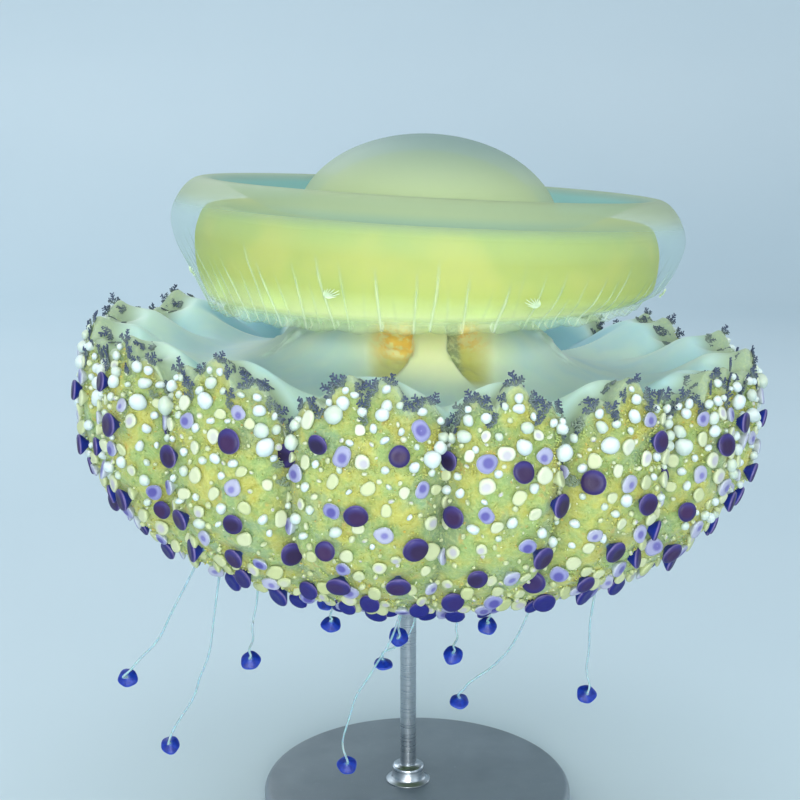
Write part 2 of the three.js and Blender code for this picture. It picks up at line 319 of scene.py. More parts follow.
# --- The bell ---
RIBS = 96
RIB_HEIGHT = 0.3
SCALLOP_HEIGHT = 0.45
BELL_FINE = 12 * RIBS  # columns round the ribbed wall
BELL_COARSE = BELL_FINE // 3  # and round the smooth rest
EDGE_HEIGHT, WALL_TOP, WALL_RADIUS = 26, 50, 58  # of the ribbed wall: its heights, and its least radius
RIB_TOP, RIB_TOP_SPREAD, RIB_FADE = 46.5, 5, 9  # where a rib ends, how much that varies, and its fade
RIB_SHARPNESS = 8  # how much narrower a rib is than the room for it
EDGE_LIFT, BACK_LIFT, LIFT_END = 3.3, 1, 40  # raise of the lower edge towards +X and the back, and its top
DOME_END = 80.5  # degrees from the top of the dome to its foot
LIP = np.array([(62.7, 26.2), (61.8, 25.9), (60.9, 26.2)])
ROOF = np.array([(30.0, 42.1), (20.0, 42.0), (8.0, 42.0)])
ROOF_HEIGHT = 42.0


def bearings_of(count):
    return FIRST_RHOPALIUM + np.arange(count) * 360 / count


def dome_outline(share, radius=DOME_RADIUS, rise=DOME_RISE):
    """The dome from its top, share 0, to its foot, share 1: [radius, z]."""
    angle = share * math.radians(DOME_END)
    return np.stack([radius * np.sin(angle), DOME_CENTRE + rise * np.cos(angle)], -1)


def rib_strength(bearing, z):
    """0 to 1 along the crest of each rib on the bell's wall. Sines of a rib's number make the ribs uneven in
    length, strength and bend."""
    place = (bearing - FIRST_RHOPALIUM) * RIBS / 360
    number = np.round(place)
    uneven = np.sin(number * 2.4) * 0.6 + np.sin(number * 5.1 + 1) * 0.4
    bend = 0.25 * np.sin(number * 1.7) * np.clip((z - 27) / 14, 0, 1)
    crest = np.clip(1 - RIB_SHARPNESS * np.abs(place - number - bend), 0, 1)
    top = RIB_TOP + RIB_TOP_SPREAD * uneven
    strength = np.clip(0.55 + 0.45 * np.sin(number * 3.7) + 0.25 * np.sin(number * 1.9), 0.15, 1)
    beside = smooth(np.abs(np.sin(np.radians(bearing))), 0.35, 0.75)
    return crest * (1 - smooth(z, top - RIB_FADE, top)) * lerp(strength, 1, 0.7 * beside)


def edge_lift(bearing, z):
    """The bell's lower edge hangs level while the animal leans, so it is raised most towards +X."""
    turn = np.radians(bearing)
    lift = EDGE_LIFT * (1 + np.sin(turn)) + BACK_LIFT * (1 - np.cos(turn))
    return lift * (1 - smooth(z, EDGE_HEIGHT, LIFT_END))


def edge_wave(bearing, z):
    """The lappets of the bell's lower edge, and the finer scallops on them."""
    turn = np.radians(bearing - FIRST_RHOPALIUM)
    wave = LAPPET_HEIGHT * np.cos(turn * LAPPETS) - SCALLOP_HEIGHT * np.abs(np.sin(turn * RIBS / 2))
    return wave * (1 - smooth(z, EDGE_HEIGHT, EDGE_HEIGHT + 2.5))


def bell_skin():
    """The clear gel: over the dome, the moat round it, the rim and the ribbed wall, and back up inside."""
    parts = [  # outlines, each with how far its ribs stand out as a share of RIB_HEIGHT
        (dome_outline(np.linspace(0, 1, 26)[1:]), 0),
        (through(BELL_OUTER, np.linspace(0, 1, 76)[2:]), 1),
        (LIP, 1),
        (through(BELL_INNER, np.linspace(1, 0, 26)), -0.6),
        (ROOF, 0),
    ]
    top = DOME_CENTRE + DOME_RISE
    points, counts, ribs, heights = [(0, 0, top)], [], [0], [top]
    for outline, relief in parts:
        for radius, z in outline:
            ribbed = relief != 0 and z < WALL_TOP and radius > WALL_RADIUS
            bearing = bearings_of(BELL_FINE if ribbed else BELL_COARSE)
            rib = rib_strength(bearing, z) * ribbed
            lift = (edge_wave(bearing, z) + edge_lift(bearing, z)) * ribbed
            points.extend(polar(radius + RIB_HEIGHT * relief * rib, bearing, z + lift))
            ribs.extend(rib)
            heights.extend(np.full(len(bearing), z))
            counts.append(len(bearing))
    points = np.array([*points, (0, 0, ROOF_HEIGHT)])
    radii = np.hypot(points[:, 0], points[:, 1])
    values = {"rib": [*ribs, 0], "height": [*heights, ROOF_HEIGHT], "radius": radii}
    piece = mesh_object("bell_skin", points, ring_faces(counts), gel_material(), values)
    wall_parts = [f"bell_{part}_{k + 1}" for part in ("rim", "margin") for k in range(RHOPALIA)]
    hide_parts("bell_dome", *wall_parts)
    return piece


CORE_OUTER = np.array(
    [(34.6, 56), (39, 51.5), (47, 50.4), (54, 52.4), (60, 55.6), (64.4, 55.2), (66.6, 51.2), (67.4, 46.0),
     (66.6, 38), (63.9, 30.5), (62.9, 28.6)]
)
CORE_INNER = np.array(
    [(62.2, 28.6), (62.9, 30.6), (64.3, 33), (65.7, 37.5), (64.6, 41.6), (60, 45.6), (50, 45.3), (38, 43.4)]
)
CORE_DOME_RADIUS, CORE_DOME_RISE = 35.2, 21.8
CORE_ROOF = 42.9
CORE_COLUMNS = 192
VEILS = (0.15, 0.38)  # thin clouds of the same yellow, as shares of the way out to the gel's face
VEIL_LOW, VEIL_HIGH = 30, 54  # heights between which there are veils
VEIL_FULL = (42, 44)  # and between which they are at their densest
VEIL_DENSITY, VEIL_CLOUDS, VEIL_RANGE = 0.26, 0.16, (0.12, 0.36)
VEIL_RIPPLE = 0.5


def core_rings(outline):
    bearing = bearings_of(CORE_COLUMNS)
    lifts = [edge_lift(bearing, z) * (radius > WALL_RADIUS) for radius, z in outline]
    return [polar(radius, bearing, z + lift) for (radius, z), lift in zip(outline, lifts)]


def bell_core():
    """The yolk-coloured flesh inside the gel: a lens in the dome, a ring in the rim and a thin wall."""
    dome = dome_outline(np.linspace(0, 1, 22)[1:], CORE_DOME_RADIUS, CORE_DOME_RISE)
    outside = through(CORE_OUTER, np.linspace(0.03, 1, 60))
    inside = through(CORE_INNER, np.linspace(0, 1, 30))
    outline = np.concatenate([dome, outside, inside, [(26.0, CORE_ROOF), (12.0, CORE_ROOF)]])
    top = DOME_CENTRE + CORE_DOME_RISE
    points = np.concatenate([[(0, 0, top)], *core_rings(outline), [(0, 0, CORE_ROOF)]])
    heights = np.concatenate([[top], np.repeat(outline[:, 1], CORE_COLUMNS), [CORE_ROOF]])
    values = {"height": heights, "radius": np.hypot(points[:, 0], points[:, 1])}
    faces = ring_faces([CORE_COLUMNS] * len(outline))
    piece = mesh_object("bell_yolk", points, faces, yolk_material(), values)
    return piece


def yolk_veils():
    """Thin clouds of the yolk's colour in the gel outside its wall, so that its edge looks soft."""
    core = through(CORE_OUTER, np.linspace(0.3, 1, 60))
    outline = core[(core[:, 0] > WALL_RADIUS) & (core[:, 1] < VEIL_HIGH) & (core[:, 1] > VEIL_LOW)]
    height = outline[:, 1]
    gel = through(BELL_OUTER, np.linspace(0.5, 1, 60))
    gap = np.interp(height, gel[::-1, 1], gel[::-1, 0]) - outline[:, 0]
    clear = smooth(height, VEIL_LOW, VEIL_FULL[0]) * (1 - smooth(height, VEIL_FULL[1], VEIL_HIGH))
    rows = np.arange(len(outline) - 1) * CORE_COLUMNS
    faces = [band(row, row + CORE_COLUMNS, CORE_COLUMNS) for row in rows]
    sheets = [np.concatenate(core_rings(outline + np.outer(veil * gap, (1, 0)))) for veil in VEILS]
    points, faces = joined([(sheet, faces) for sheet in sheets])
    points = points + unit(points * (1, 1, 0)) * VEIL_RIPPLE * lumps(points, 14, 5)[:, None]
    cloudy = np.clip(VEIL_DENSITY + VEIL_CLOUDS * lumps(points, 18, 6), *VEIL_RANGE)
    heights, clear = [np.tile(np.repeat(row, CORE_COLUMNS), len(VEILS)) for row in (height, clear)]
    values = {"height": heights, "density": cloudy * clear}
    piece = mesh_object("yolk_veils", points, faces, veil_material(), values)
    return piece


RHOPALIUM_RADIUS, RHOPALIUM_HEIGHT = 69.5, 37.6
BLADE_LENGTHS = (1.8, 2.5, 3.2, 3.8, 4.5, 5.2, 4.8, 3.4, 2.0)
BLADE_RADII = np.array([0.16, 0.19, 0.17, 0.12, 0.05])


def rhopalium(bearing):
    """A small white tuft of blades on the bell's wall, which fan out from upright towards the front."""
    foot = polar(RHOPALIUM_RADIUS, bearing, RHOPALIUM_HEIGHT + edge_lift(bearing, RHOPALIUM_HEIGHT))
    out, across = unit(polar(1, bearing, -0.7)), polar(1, bearing + 90, 0)
    up = np.cross(out, across)
    up = up * np.sign(up[2])
    side = 1 if math.sin(math.radians(bearing)) > 0 else -1
    share = np.linspace(0, 1, len(BLADE_RADII))[:, None]
    blades = []
    for number, length in enumerate(BLADE_LENGTHS):
        angle = -side * (0.1 + number * 0.19)
        way = across * math.sin(angle) + up * math.cos(angle)
        path = foot + share * length * way + out * (0.3 + 0.5 * np.sin(share * 2.6))
        blades.append(tube(path, BLADE_RADII, 6))
    return joined(blades)


def rhopalia():
    """The eight sense organs on the bell's wall."""
    tufts = joined([rhopalium(bearing) for bearing in bearings_of(RHOPALIA)])
    piece = mesh_object("rhopalia", *tufts, rhopalium_material())
    return piece


def rhopalium_material():
    paint = Paint("rhopalium_white", roughness=0.5)
    return paint.finished(paint.mix(paint.noise(1.5, 2), (236, 248, 218), (214, 234, 194)))


def gel_material():
    """Clear grey-green gel, whiter and denser along the ribs, the lower edge and the crest of the rim. The
    dome's greyer top is painted shade, and the paleness low on the wall is partly the gel's own colour and
    partly painted light shining through it.
    """
    paint = Paint("bell_gel_clear", roughness=0.5, specular_ior_level=0.25)
    height, radius, rib = paint.values("height", "radius", "rib")
    dome = paint.rise(radius, 36.5, 40, 1, 0)
    moat = paint.times(paint.rise(radius, 36, 41), paint.rise(radius, 58, 66, 1, 0))
    colour = paint.over(
        (158, 206, 206),
        (paint.rise(height, 52, 60), (172, 186, 146)),
        # painted shade: the dome greyer towards its top
        (dome, paint.mix(paint.rise(height, 60, 79), (190, 204, 162), (138, 164, 156))),
        (moat, (104, 176, 170)),
        # paler low on the wall: partly the gel's own colour, partly painted light shining through the thin
        # wall
        (paint.rise(height, 27, 42, 1, 0), (222, 246, 186)),
        (paint.rise(rib, 0.1, 0.8), (236, 252, 222)),
    )
    foot = paint.rise(height, 26, 30, 1, 0)
    crest = paint.times(paint.rise(height, 53, 60), paint.rise(moat, 0, 1, 1, 0))
    density = 0.18
    for share, there in ((dome, 0.42), (moat, 0.64), (foot, 0.12), (crest, 0.62)):
        density = paint.node("Mix", {0: share, 2: density, 3: there}, data_type="FLOAT").outputs[0]
    density = paint.maths("ADD", density, paint.times(rib, 0.4))
    return paint.finished(colour, paint.maths("MINIMUM", density, 1.0))


def yolk_material():
    """Yellow-green flesh, paler in the dome and near the lower edge, where it fades into the gel. The
    paleness near the lower edge is partly its own colour and partly painted light shining through the thin
    wall.
    """
    paint = Paint("bell_yolk_flesh", roughness=0.6, specular_ior_level=0.2, subsurface_weight=0.35,
                  subsurface_radius=(1.0, 1.0, 0.6), subsurface_scale=1.5 * MM)
    height, radius = paint.values("height", "radius")
    amber = paint.times(paint.clouds(24, 2, 0.42, 0.62, 0, 0.4), paint.rise(height, 34, 44))
    dome = paint.rise(radius, 33, 38, 1, 0)
    paint.bump(paint.noise(5, 3), 0.2, 0.4)
    colour = paint.over(ring_colour(paint, height), (amber, (222, 212, 84)), (dome, (208, 222, 156)))
    return paint.finished(colour, paint.rise(height, 28.6, 31.5, 0.1, 1.0))


def ring_colour(paint, height):
    """Clear yellow, nearly white at the lower edge: partly its own colour, partly painted light shining
    through the thin wall.
    """
    # the palest stops, low on the wall, are partly painted light shining through it
    stops = [(0.0, (240, 252, 186)), (0.15, (230, 244, 150)), (0.42, (196, 206, 76)),
             (0.8, (184, 190, 58)), (1.0, (186, 200, 92))]
    return paint.ramp(paint.rise(height, 26, 56), stops)


def veil_material():
    paint = Paint("yolk_veils", roughness=0.7, specular_ior_level=0.1)
    height, density = paint.values("height", "density")
    return paint.finished(ring_colour(paint, height), density)


# --- The skin of the trunk and arms ---
FINE = 600  # columns round the arms' outer part
COARSE = FINE // 3  # and round the trunk and the middle of the underside
COAT = 1.6  # depth of the coat of curls outside the arms' skin
TIP_COAT = 3.2  # and of the ferny fringe above its edge
SKIN_TOP = 43.6  # hidden in the bell's yolk
TRUNK_TOP_RADIUS, TRUNK_RADIUS = 34, 30
# Heights of the smooth slope from the trunk out over the arms: [radius, z].
SLOPE = np.array(
    [(30, 26.5), (33.5, 24.5), (38, 21), (42, 17), (48, 13.6), (57, 11.2), (66, 10.6), (80, 13), (93, 17)]
)
SLOPE_END = (60, 84)  # radii between which the slope gives way to the rising edge
OPENING_DEPTH, OPENING_FOOT, OPENING_TOP = 6.5, 12.5, 22  # beside each pillar: depth and heights
OPENING_NEAR, OPENING_SLANT, OPENING_FAR = 5, 6.5, (12.5, 18)  # mm from the pillar's middle plane
OPENING_FALL = 0.35  # mm lower for each mm of depth
OPENING_END = (47, 52)  # radii between which it closes
STRAP_HALF, STRAP_STEP = 41, 3.2  # half the width of the slab from each pillar, and its edge's height
STRAP_LINE_END, STRAP_SHADE_END = (66, 80), (76, 86)  # radii over which its edge's colours fade
FRILL_START = 88  # radius
FINE_RADIUS = 40  # from here outwards the rings have FINE columns
EDGE_RINGS = ((0.35, -0.35), (0.8, -0.1), (1.0, 0.5))  # the rounded edge: share of the way out, and mm down
FINE_END, WALL_END = 1.62, 1.975  # shares of wall() where the columns turn coarse, and at the last ring
# Relief of the skin: height in mm, size of the lumps in mm, and seed.
FRILL_RELIEF = ((0.9, 7, 1), (0.6, 2.6, 2))
GONAD_FOLDS = ((1.3, 3.2, 3), (0.5, 1.2, 4))


def height_along(rows, radius):
    curve = through(rows, np.linspace(0, 1, 60))
    return np.interp(radius, curve[:, 0], curve[:, 1])


def aside(radius, bearing):
    """Distance in mm from the upright plane through the nearest pillar's middle."""
    from_pillar = np.abs((bearing - FIRST_PILLAR + 45) % 90 - 45)
    return radius * np.sin(np.radians(from_pillar))


def lobe_at(bearing):
    """For each bearing: the lobe it is in, how far across it, from -1 to 1, and the lobe's width."""
    past = (np.asarray(bearing, float) - LOBE_EDGES[0]) % 360
    starts = LOBE_EDGES - LOBE_EDGES[0]
    lobe = np.searchsorted(starts, past, side="right") - 1
    widths = np.diff(np.append(starts, 360))
    return lobe, 2 * (past - starts[lobe]) / widths[lobe] - 1, widths[lobe]


def edge_drop(radius, bearing):
    """How far the arms' edge falls in the valleys between lobes and in the narrow notches between tips, and
    by the depth of its fringe."""
    lobe, across, width = lobe_at(bearing)
    nearest = np.where(across < 0, lobe, lobe + 1)
    valley = np.where(nearest % 2 == 1, CLEFT_DROP, BETWEEN_DROP) * across**2
    place = (across + 1) / 2 * np.where(width >= WIDE_LOBE, 4, 3)
    notch = NOTCH_DROP * np.abs(2 * (place % 1) - 1) ** 1.8
    near_edge = smooth(radius, NOTCH_REACH, EDGE_RADIUS)
    return valley * smooth(radius, VALLEY_REACH, EDGE_RADIUS) + (notch + TIP_COAT) * near_edge


def upper_surface(radius, bearing):
    """Height of the arms' smooth upper surface: the slope from the trunk, slabs, and the rising edge."""
    climb = np.maximum(0, (radius - BOWL_START) / (EDGE_RADIUS - BOWL_START)) ** 2
    outer = lerp(BOWL_FLOOR, EDGE_TOP, climb) - edge_drop(radius, bearing)
    step = STRAP_STEP * smooth(aside(radius, bearing), STRAP_HALF - 0.4, STRAP_HALF + 1.8)
    return lerp(height_along(SLOPE, radius) - step, outer, smooth(radius, *SLOPE_END))


def opening(radius, bearing, z):
    """1 inside an opening beside a pillar: crisp along the pillar, soft on its far side, pointed below."""
    beside = aside(radius, bearing)
    near = OPENING_NEAR + OPENING_SLANT * np.clip((OPENING_TOP - z) / 9, 0, 1) ** 1.5
    across = smooth(beside, near - 0.6, near + 0.7) * (1 - smooth(beside, *OPENING_FAR))
    return across * smooth(z, OPENING_FOOT, OPENING_FOOT + 2.5) * (1 - smooth(radius, *OPENING_END))


def ahead(bearing):
    """1 for the front and back pillars' openings, 0 for the side ones, which are closed."""
    return smooth(np.abs(np.cos(np.radians(bearing))), 0.4, 0.7)


def sunk(radius, bearing, z):
    """The trunk's and slope's places, sunk towards the axis inside the openings, and opening() there."""
    inside = opening(radius, bearing, z)
    depth = OPENING_DEPTH * inside * smooth(z, OPENING_FOOT, OPENING_TOP - 2) * ahead(bearing)
    return radius - depth, z - OPENING_FALL * depth, inside


def wall(share, bearing, edge):
    """The arms' outer face: share 0 at the edge, 1 at the widest place, 2 at the middle underneath."""
    share, bearing = np.broadcast_arrays(np.asarray(share, float), bearing)
    depth = BODY_DEPTH + SAG * np.cos(np.radians(bearing - SAG_BEARING))
    z_above = lerp(edge, BODY_CENTRE, np.minimum(share, 1))
    r_above = BODY_RADIUS * (1 - ((z_above - BODY_CENTRE) / BODY_TAPER) ** 2)
    angle = np.clip(share - 1, 0, 1) * math.pi / 2
    power = 2 / BODY_POWER
    r_below = BODY_RADIUS * np.cos(angle).clip(0, 1) ** power
    z_below = BODY_CENTRE - lerp(BODY_DEPTH, depth, r_below / BODY_RADIUS) * np.sin(angle) ** power
    radius, z = np.where(share < 1, (r_above, z_above), (r_below, z_below))
    groove = VALLEY_GROOVE * 1.55 * lobe_at(bearing)[1] ** 4 * smooth(z, BODY_CENTRE - depth, BODY_CENTRE)
    return radius - groove * np.clip(radius / 40, 0, 1), z


def skin_rings():
    """The skin's rings from its top to the middle underneath: bearings, radius, z, and the shares there of
    opening, frill and fringe."""
    coarse, fine = [np.arange(count) * 360 / count for count in (COARSE, FINE)]
    yield [0.0], 0, SKIN_TOP, 0, 0, 0
    for share in np.linspace(0, 1, 16):
        radius, z = lerp(TRUNK_TOP_RADIUS, TRUNK_RADIUS, share), lerp(SKIN_TOP, SLOPE[0][1], share)
        yield coarse, *sunk(radius, coarse, z), 0, 0
    for radius in (*np.linspace(TRUNK_RADIUS, 50, 30)[1:], *np.linspace(50, EDGE_RADIUS, 42)[1:]):
        bearing = coarse if radius < FINE_RADIUS else fine
        frill = 0.5 * smooth(radius, FRILL_START, EDGE_RADIUS)
        yield bearing, *sunk(radius, bearing, upper_surface(radius, bearing)), frill, 0
    edge = upper_surface(EDGE_RADIUS, fine)
    for out, drop in EDGE_RINGS:
        yield fine, lerp(EDGE_RADIUS, wall(0, fine, edge)[0] - COAT * 0.6, out), edge - drop, 0, 0.7, 1
    for share in (*np.linspace(0.05, 1, 21), *np.linspace(1, FINE_END, 47)[1:]):
        radius, z = wall(share, fine, edge)
        inset = COAT * lerp(0.6, 1, smooth(share, 0, 0.2))
        slope = np.clip(share - 1, 0, 1) * math.pi / 2
        fringe = 1 - smooth(share, 0.04, 0.24)
        yield fine, radius - inset * np.cos(slope), z + inset * np.sin(slope), 0, 1, fringe
    for share in np.linspace(FINE_END, WALL_END, 18)[1:]:
        radius, z = wall(share, coarse, upper_surface(EDGE_RADIUS, coarse))
        yield coarse, radius, z + COAT * smooth(radius, 5, 16), 0, 1, 0
    yield [0.0], 0, BODY_CENTRE - BODY_DEPTH, 0, 1, 0


def body_skin():
    """One skin from the top of the pillars, over the bowl and the arms' edge, to the middle underneath."""
    rings = [np.array(np.broadcast_arrays(*ring), float) for ring in skin_rings()]
    bearing, radius, z, window, frill, tip = np.concatenate(rings, 1)
    points = polar(radius, bearing, z)
    out = points / np.maximum(1, np.linalg.norm(points, axis=1))[:, None]
    relief = sum(height * lumps(points, size, seed) for height, size, seed in FRILL_RELIEF)
    points = points + out * (relief * frill * smooth(radius, 6, 20))[:, None]
    folds = sum(height * lumps(points, size, seed) for height, size, seed in GONAD_FOLDS)
    points = points + out * (folds * window)[:, None]
    beside = aside(radius, bearing)
    # Painted highlights: a pale line along each slab's edge, and round the rim of each opening.
    slab_edge_highlight = np.exp(-(((beside - STRAP_HALF + 0.2) / 0.7) ** 2)) * (1 - smooth(radius, *STRAP_LINE_END))
    lip_highlight = 3 * window * (1 - window) * (beside < 12)
    beyond = smooth(beside, STRAP_HALF, STRAP_HALF + 3) * (1 - smooth(radius, *STRAP_SHADE_END))
    values = {
        "height": points[:, 2],
        "radius": radius,
        "window": window,
        "frill": frill,
        "tip": tip,
        "beside": beside,
        # edge: painted highlights along the slabs' edges and round the openings
        "edge": np.maximum(slab_edge_highlight, lip_highlight),
        # painted shade in the creases between the lobes
        "crease_shade": np.abs(lobe_at(bearing)[1]) ** 9 * frill,
        "beyond": beyond * (1 - frill),
        "ahead": ahead(bearing),
        "right": np.sin(np.radians(4 * (bearing - FIRST_PILLAR))) > 0,
    }
    counts = [ring.shape[1] for ring in rings[1:-1]]
    piece = mesh_object("body_skin", points, ring_faces(counts), body_material(), values)
    numbered = [f"{part}_{k + 1}" for part in ("oral_arm", "arm_frill") for k in range(ARMS)]
    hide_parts("trunk", *[f"pillar_{k + 1}" for k in range(PILLARS)], *numbered)
    return piece


def frill_colour(paint):
    """The granular tissue of the arms' outer face: yellow-green, teal-grey in patches, flecked orange."""
    tissue = paint.rise(paint.noise(7, 5, 0.6), 0.38, 0.62)
    return paint.over(
        (150, 176, 108),
        (tissue, (186, 184, 92)),
        (paint.clouds(11, 4, 0.52, 0.66, 0, 0.65), (130, 164, 132)),
        (paint.clouds(3.4, 3, 0.64, 0.72, 0, 0.5), (200, 162, 84)),
    )


def bowl_colour(paint, radius, beside, ahead_here, edge, beyond):
    """Blue-grey gel, yellow round the front and back pillars, bluer beyond the slabs, with painted highlights
    along the slabs' edges and round the openings.
    """
    warm = paint.times(paint.rise(radius, 34, 58, 1, 0), paint.rise(beside, 10, 28, 1, 0.1))
    return paint.over(
        (182, 218, 220),
        (paint.clouds(22, 3, 0.35, 0.65), (202, 228, 216)),
        (paint.times(warm, paint.rise(ahead_here, 0, 1, 0.2, 1)), (240, 242, 178)),
        (paint.times(beyond, 0.7), (104, 174, 200)),
        (paint.rise(radius, 82, 91), (158, 178, 150)),
        # painted highlight along the slabs' edges and round the openings
        (paint.times(edge, 0.7), (222, 240, 222)),
    )


def gonad_colour(paint, height, beside, right):
    """Orange folds, paler at their foot; those right of a pillar are olive below and speckled beside it."""
    strip = paint.times(paint.rise(beside, 7.5, 10, 0.9, 0), right)
    speckles = paint.mix(paint.clouds(1.1, 3, 0.45, 0.6), (150, 166, 128), (196, 206, 156))
    return paint.over(
        (255, 208, 96),
        (paint.clouds(2.4, 4, 0.42, 0.6), (255, 240, 172)),
        (paint.rise(height, 15.5, 20.5, 1, 0), (212, 216, 142)),
        (paint.times(paint.rise(height, 19, 23, 0.85, 0), right), (206, 206, 112)),
        (strip, speckles),
    )


def body_material():
    """Gel in the bowl, orange gonads in the openings beside the pillars, and the granular frill outside."""
    settings = {"subsurface_weight": 0.6, "subsurface_radius": (0.9, 1.0, 0.7), "subsurface_scale": 3 * MM}
    paint = Paint("body_flesh", roughness=0.55, specular_ior_level=0.3, sheen_weight=0.15, **settings)
    height, radius, beside, right = paint.values("height", "radius", "beside", "right")
    window, frill, tip, crease_shade = paint.values("window", "frill", "tip", "crease_shade")
    # edge carries the painted highlights along the slabs' edges and round the openings
    ahead_here, edge, beyond = paint.values("ahead", "edge", "beyond")
    grain = paint.noise(0.9, 4, 0.65)
    tissue = paint.over(
        frill_colour(paint),
        # painted shade: darker green in the creases between the lobes
        (paint.times(crease_shade, 0.8), (100, 128, 96)),
        (paint.times(tip, 0.7), (158, 176, 142)),
    )
    colour = paint.over(
        bowl_colour(paint, radius, beside, ahead_here, edge, beyond),
        (paint.times(window, ahead_here), gonad_colour(paint, height, beside, right)),
        (paint.rise(frill, 0.7, 1.0), tissue),
        (paint.times(paint.rise(grain, 0.4, 0.7, 0, 0.35), frill), (216, 222, 150)),
    )
    paint.bump(paint.times(grain, frill), 0.5, 0.9)
    return paint.finished(colour)


# --- The coat: many small shapes joined into a few meshes ---
PATCH = 0.003  # of the bake map, for one small shape
rng = np.random.default_rng(7)

# Outlines from the middle of the face, round the rim, to the foot of the stalk: a cup, a bead and a blade.
CUP = [(0, 0.1), (0.36, 0.14), (0.68, 0.16), (0.9, 0.1), (1.0, -0.04), (0.97, -0.16), (0.76, -0.42),
       (0.5, -0.68), (0.3, -0.9), (0.22, -1.15), (0.2, -1.8)]
BEAD = [(0, 0.72), (0.38, 0.66), (0.72, 0.46), (0.94, 0.16), (0.97, -0.14), (0.8, -0.44), (0.46, -0.68),
        (0.2, -0.9)]
BLADE = [(0, 1.5), (0.55, 0.75), (1.0, -0.4)]
# Tries, radii in mm, shares down the outer face, room as a share of two radii, and mm from one to the next.
BUTTONS = {
    "dark": (5000, (2.5, 3.25), (0.42, 1.9), 1.0, 12),
    "lavender": (5000, (1.9, 2.6), (0.3, 1.9), 1.0, 11),
    "cream": (6000, (1.4, 2.4), (0.25, 1.9), 0.97, 5.5),
    "white": (7000, (0.9, 1.9), (0.12, 1.2), 0.98, 4),
    "small": (8000, (0.5, 1.1), (0.3, 1.92), 1.0, 2.8),
}
CURL_TRIES, CURLS = 52000, 32000
FERN_KINDS = 8
INNER_FERN_RADII = (88.4, 91.2)  # of the two rows on the upper surface
VALLEY_FERNS, VALLEY_FERN_STEP = (11, 16), 2.6  # mm down in a shallow and a deep valley, and between ferns
FERN_ROOT, FERN_LIFT, FERN_ROOM = 1.0, 0.9, 0.6  # mm below its place, out of the skin, and clear of beads
CHAIN_STEP = 1.9  # from one bead of a chain to the next, in radii
UNDERSIDE_LEAN = 0.65  # radians that what grows under the arms leans up
SIDE_STEP = 0.4  # degrees to either side of a place, to find the way across
# Ferns round each tip: place across it from -1 to 1, mm below the edge, and size.
TIP_FERNS = [(-1, 1.0, 3.1), (-0.55, 0.2, 3.3), (0, -0.4, 3.5), (0.55, 0.2, 3.3), (-0.85, 4.6, 2.9),
             (0.85, 4.6, 2.9)]


def skin_place(bearing, share):
    """Points on the coat's ground along the arms' outer face; share is as in wall()."""
    radius, z = wall(share, bearing, upper_surface(EDGE_RADIUS, bearing))
    angle = np.clip(share - 1, 0, 1) * math.pi / 2
    return polar(radius - COAT * np.cos(angle), bearing, z + COAT * np.sin(angle))


def bowl_place(bearing, radius):
    return polar(radius, bearing, upper_surface(radius, bearing))


def frame_on(place, bearing, along, step):
    """On the surface of place(bearing, along): across to larger bearings, the way of the step along it, and
    out of it."""
    across = unit(place(bearing + SIDE_STEP, along) - place(bearing - SIDE_STEP, along))
    out = unit(np.cross(across, place(bearing, along + step) - place(bearing, along - step)))
    return across, np.cross(out, across), out


def skin_frame(bearing, share):
    return frame_on(skin_place, bearing, share, -0.01)


def share_below(bearing, distance):
    """The share at a place of the outer face that is a distance in mm lower than the edge."""
    above = upper_surface(EDGE_RADIUS, bearing) - BODY_CENTRE
    under = np.maximum(0, distance - above) / BODY_DEPTH
    return np.minimum(distance / above, 1) + np.arcsin(under ** (BODY_POWER / 2)) * 2 / math.pi


def map_place(bearing, share):
    """Where a place on the arms is on an unwrap of the skin's own shape."""
    return np.stack([0.01 + 0.98 * (bearing % 360) / 360, 0.02 + 0.96 * (1 - share / 2)], -1)


def turned(frame_of, spin, lean_up=0.0, lean_across=0.0):
    """Frames turned about their outward direction, then leaned; angles in radians."""
    across, up, out = frame_of
    angles = (spin, lean_up, lean_across)
    spin, lean_up, lean_across = [np.broadcast_to(angle, len(across))[:, None] for angle in angles]
    y = up * np.cos(spin) - across * np.sin(spin)
    z = unit(out + up * np.tan(lean_up) + across * np.tan(lean_across))
    y = unit(y - z * np.sum(y * z, -1, keepdims=True))
    return np.cross(y, z), y, z


def lathe_shape(outline, sides, waves=()):
    """A small shape turned about its z axis and open at its foot: its points, its faces, and each point's
    share along the outline. Each wave is (count, strength, start) and makes it less round."""
    angle = np.arange(sides) * 2 * math.pi / sides
    swell = 1 + sum(strength * np.cos(count * angle + start) for count, strength, start in waves)
    ring = np.stack([swell * np.cos(angle), swell * np.sin(angle), np.zeros(sides)], -1)
    points = np.concatenate([[(0, 0, outline[0][1])], *[ring * r + (0, 0, z) for r, z in outline[1:]]])
    starts = 1 + np.arange(len(outline) - 2) * sides
    faces = [fan(1, sides, 0, True), *[band(start, start + sides, sides) for start in starts]]
    share = np.concatenate([[0], np.repeat(np.arange(1, len(outline)) / (len(outline) - 1), sides)])
    return points, faces, share


def lathe_kinds(outline, sides, kinds, strength):
    """Several such shapes, each unround in its own way."""
    starts = rng.uniform(0, 2 * math.pi, (kinds, 3))
    sizes = rng.uniform(0.3, 1, (kinds, 3)) * strength
    waves = [[(w + 2, sizes[i, w] / (w + 1), starts[i, w]) for w in range(3)] for i in range(kinds)]
    return [lathe_shape(outline, sides, wave) for wave in waves]


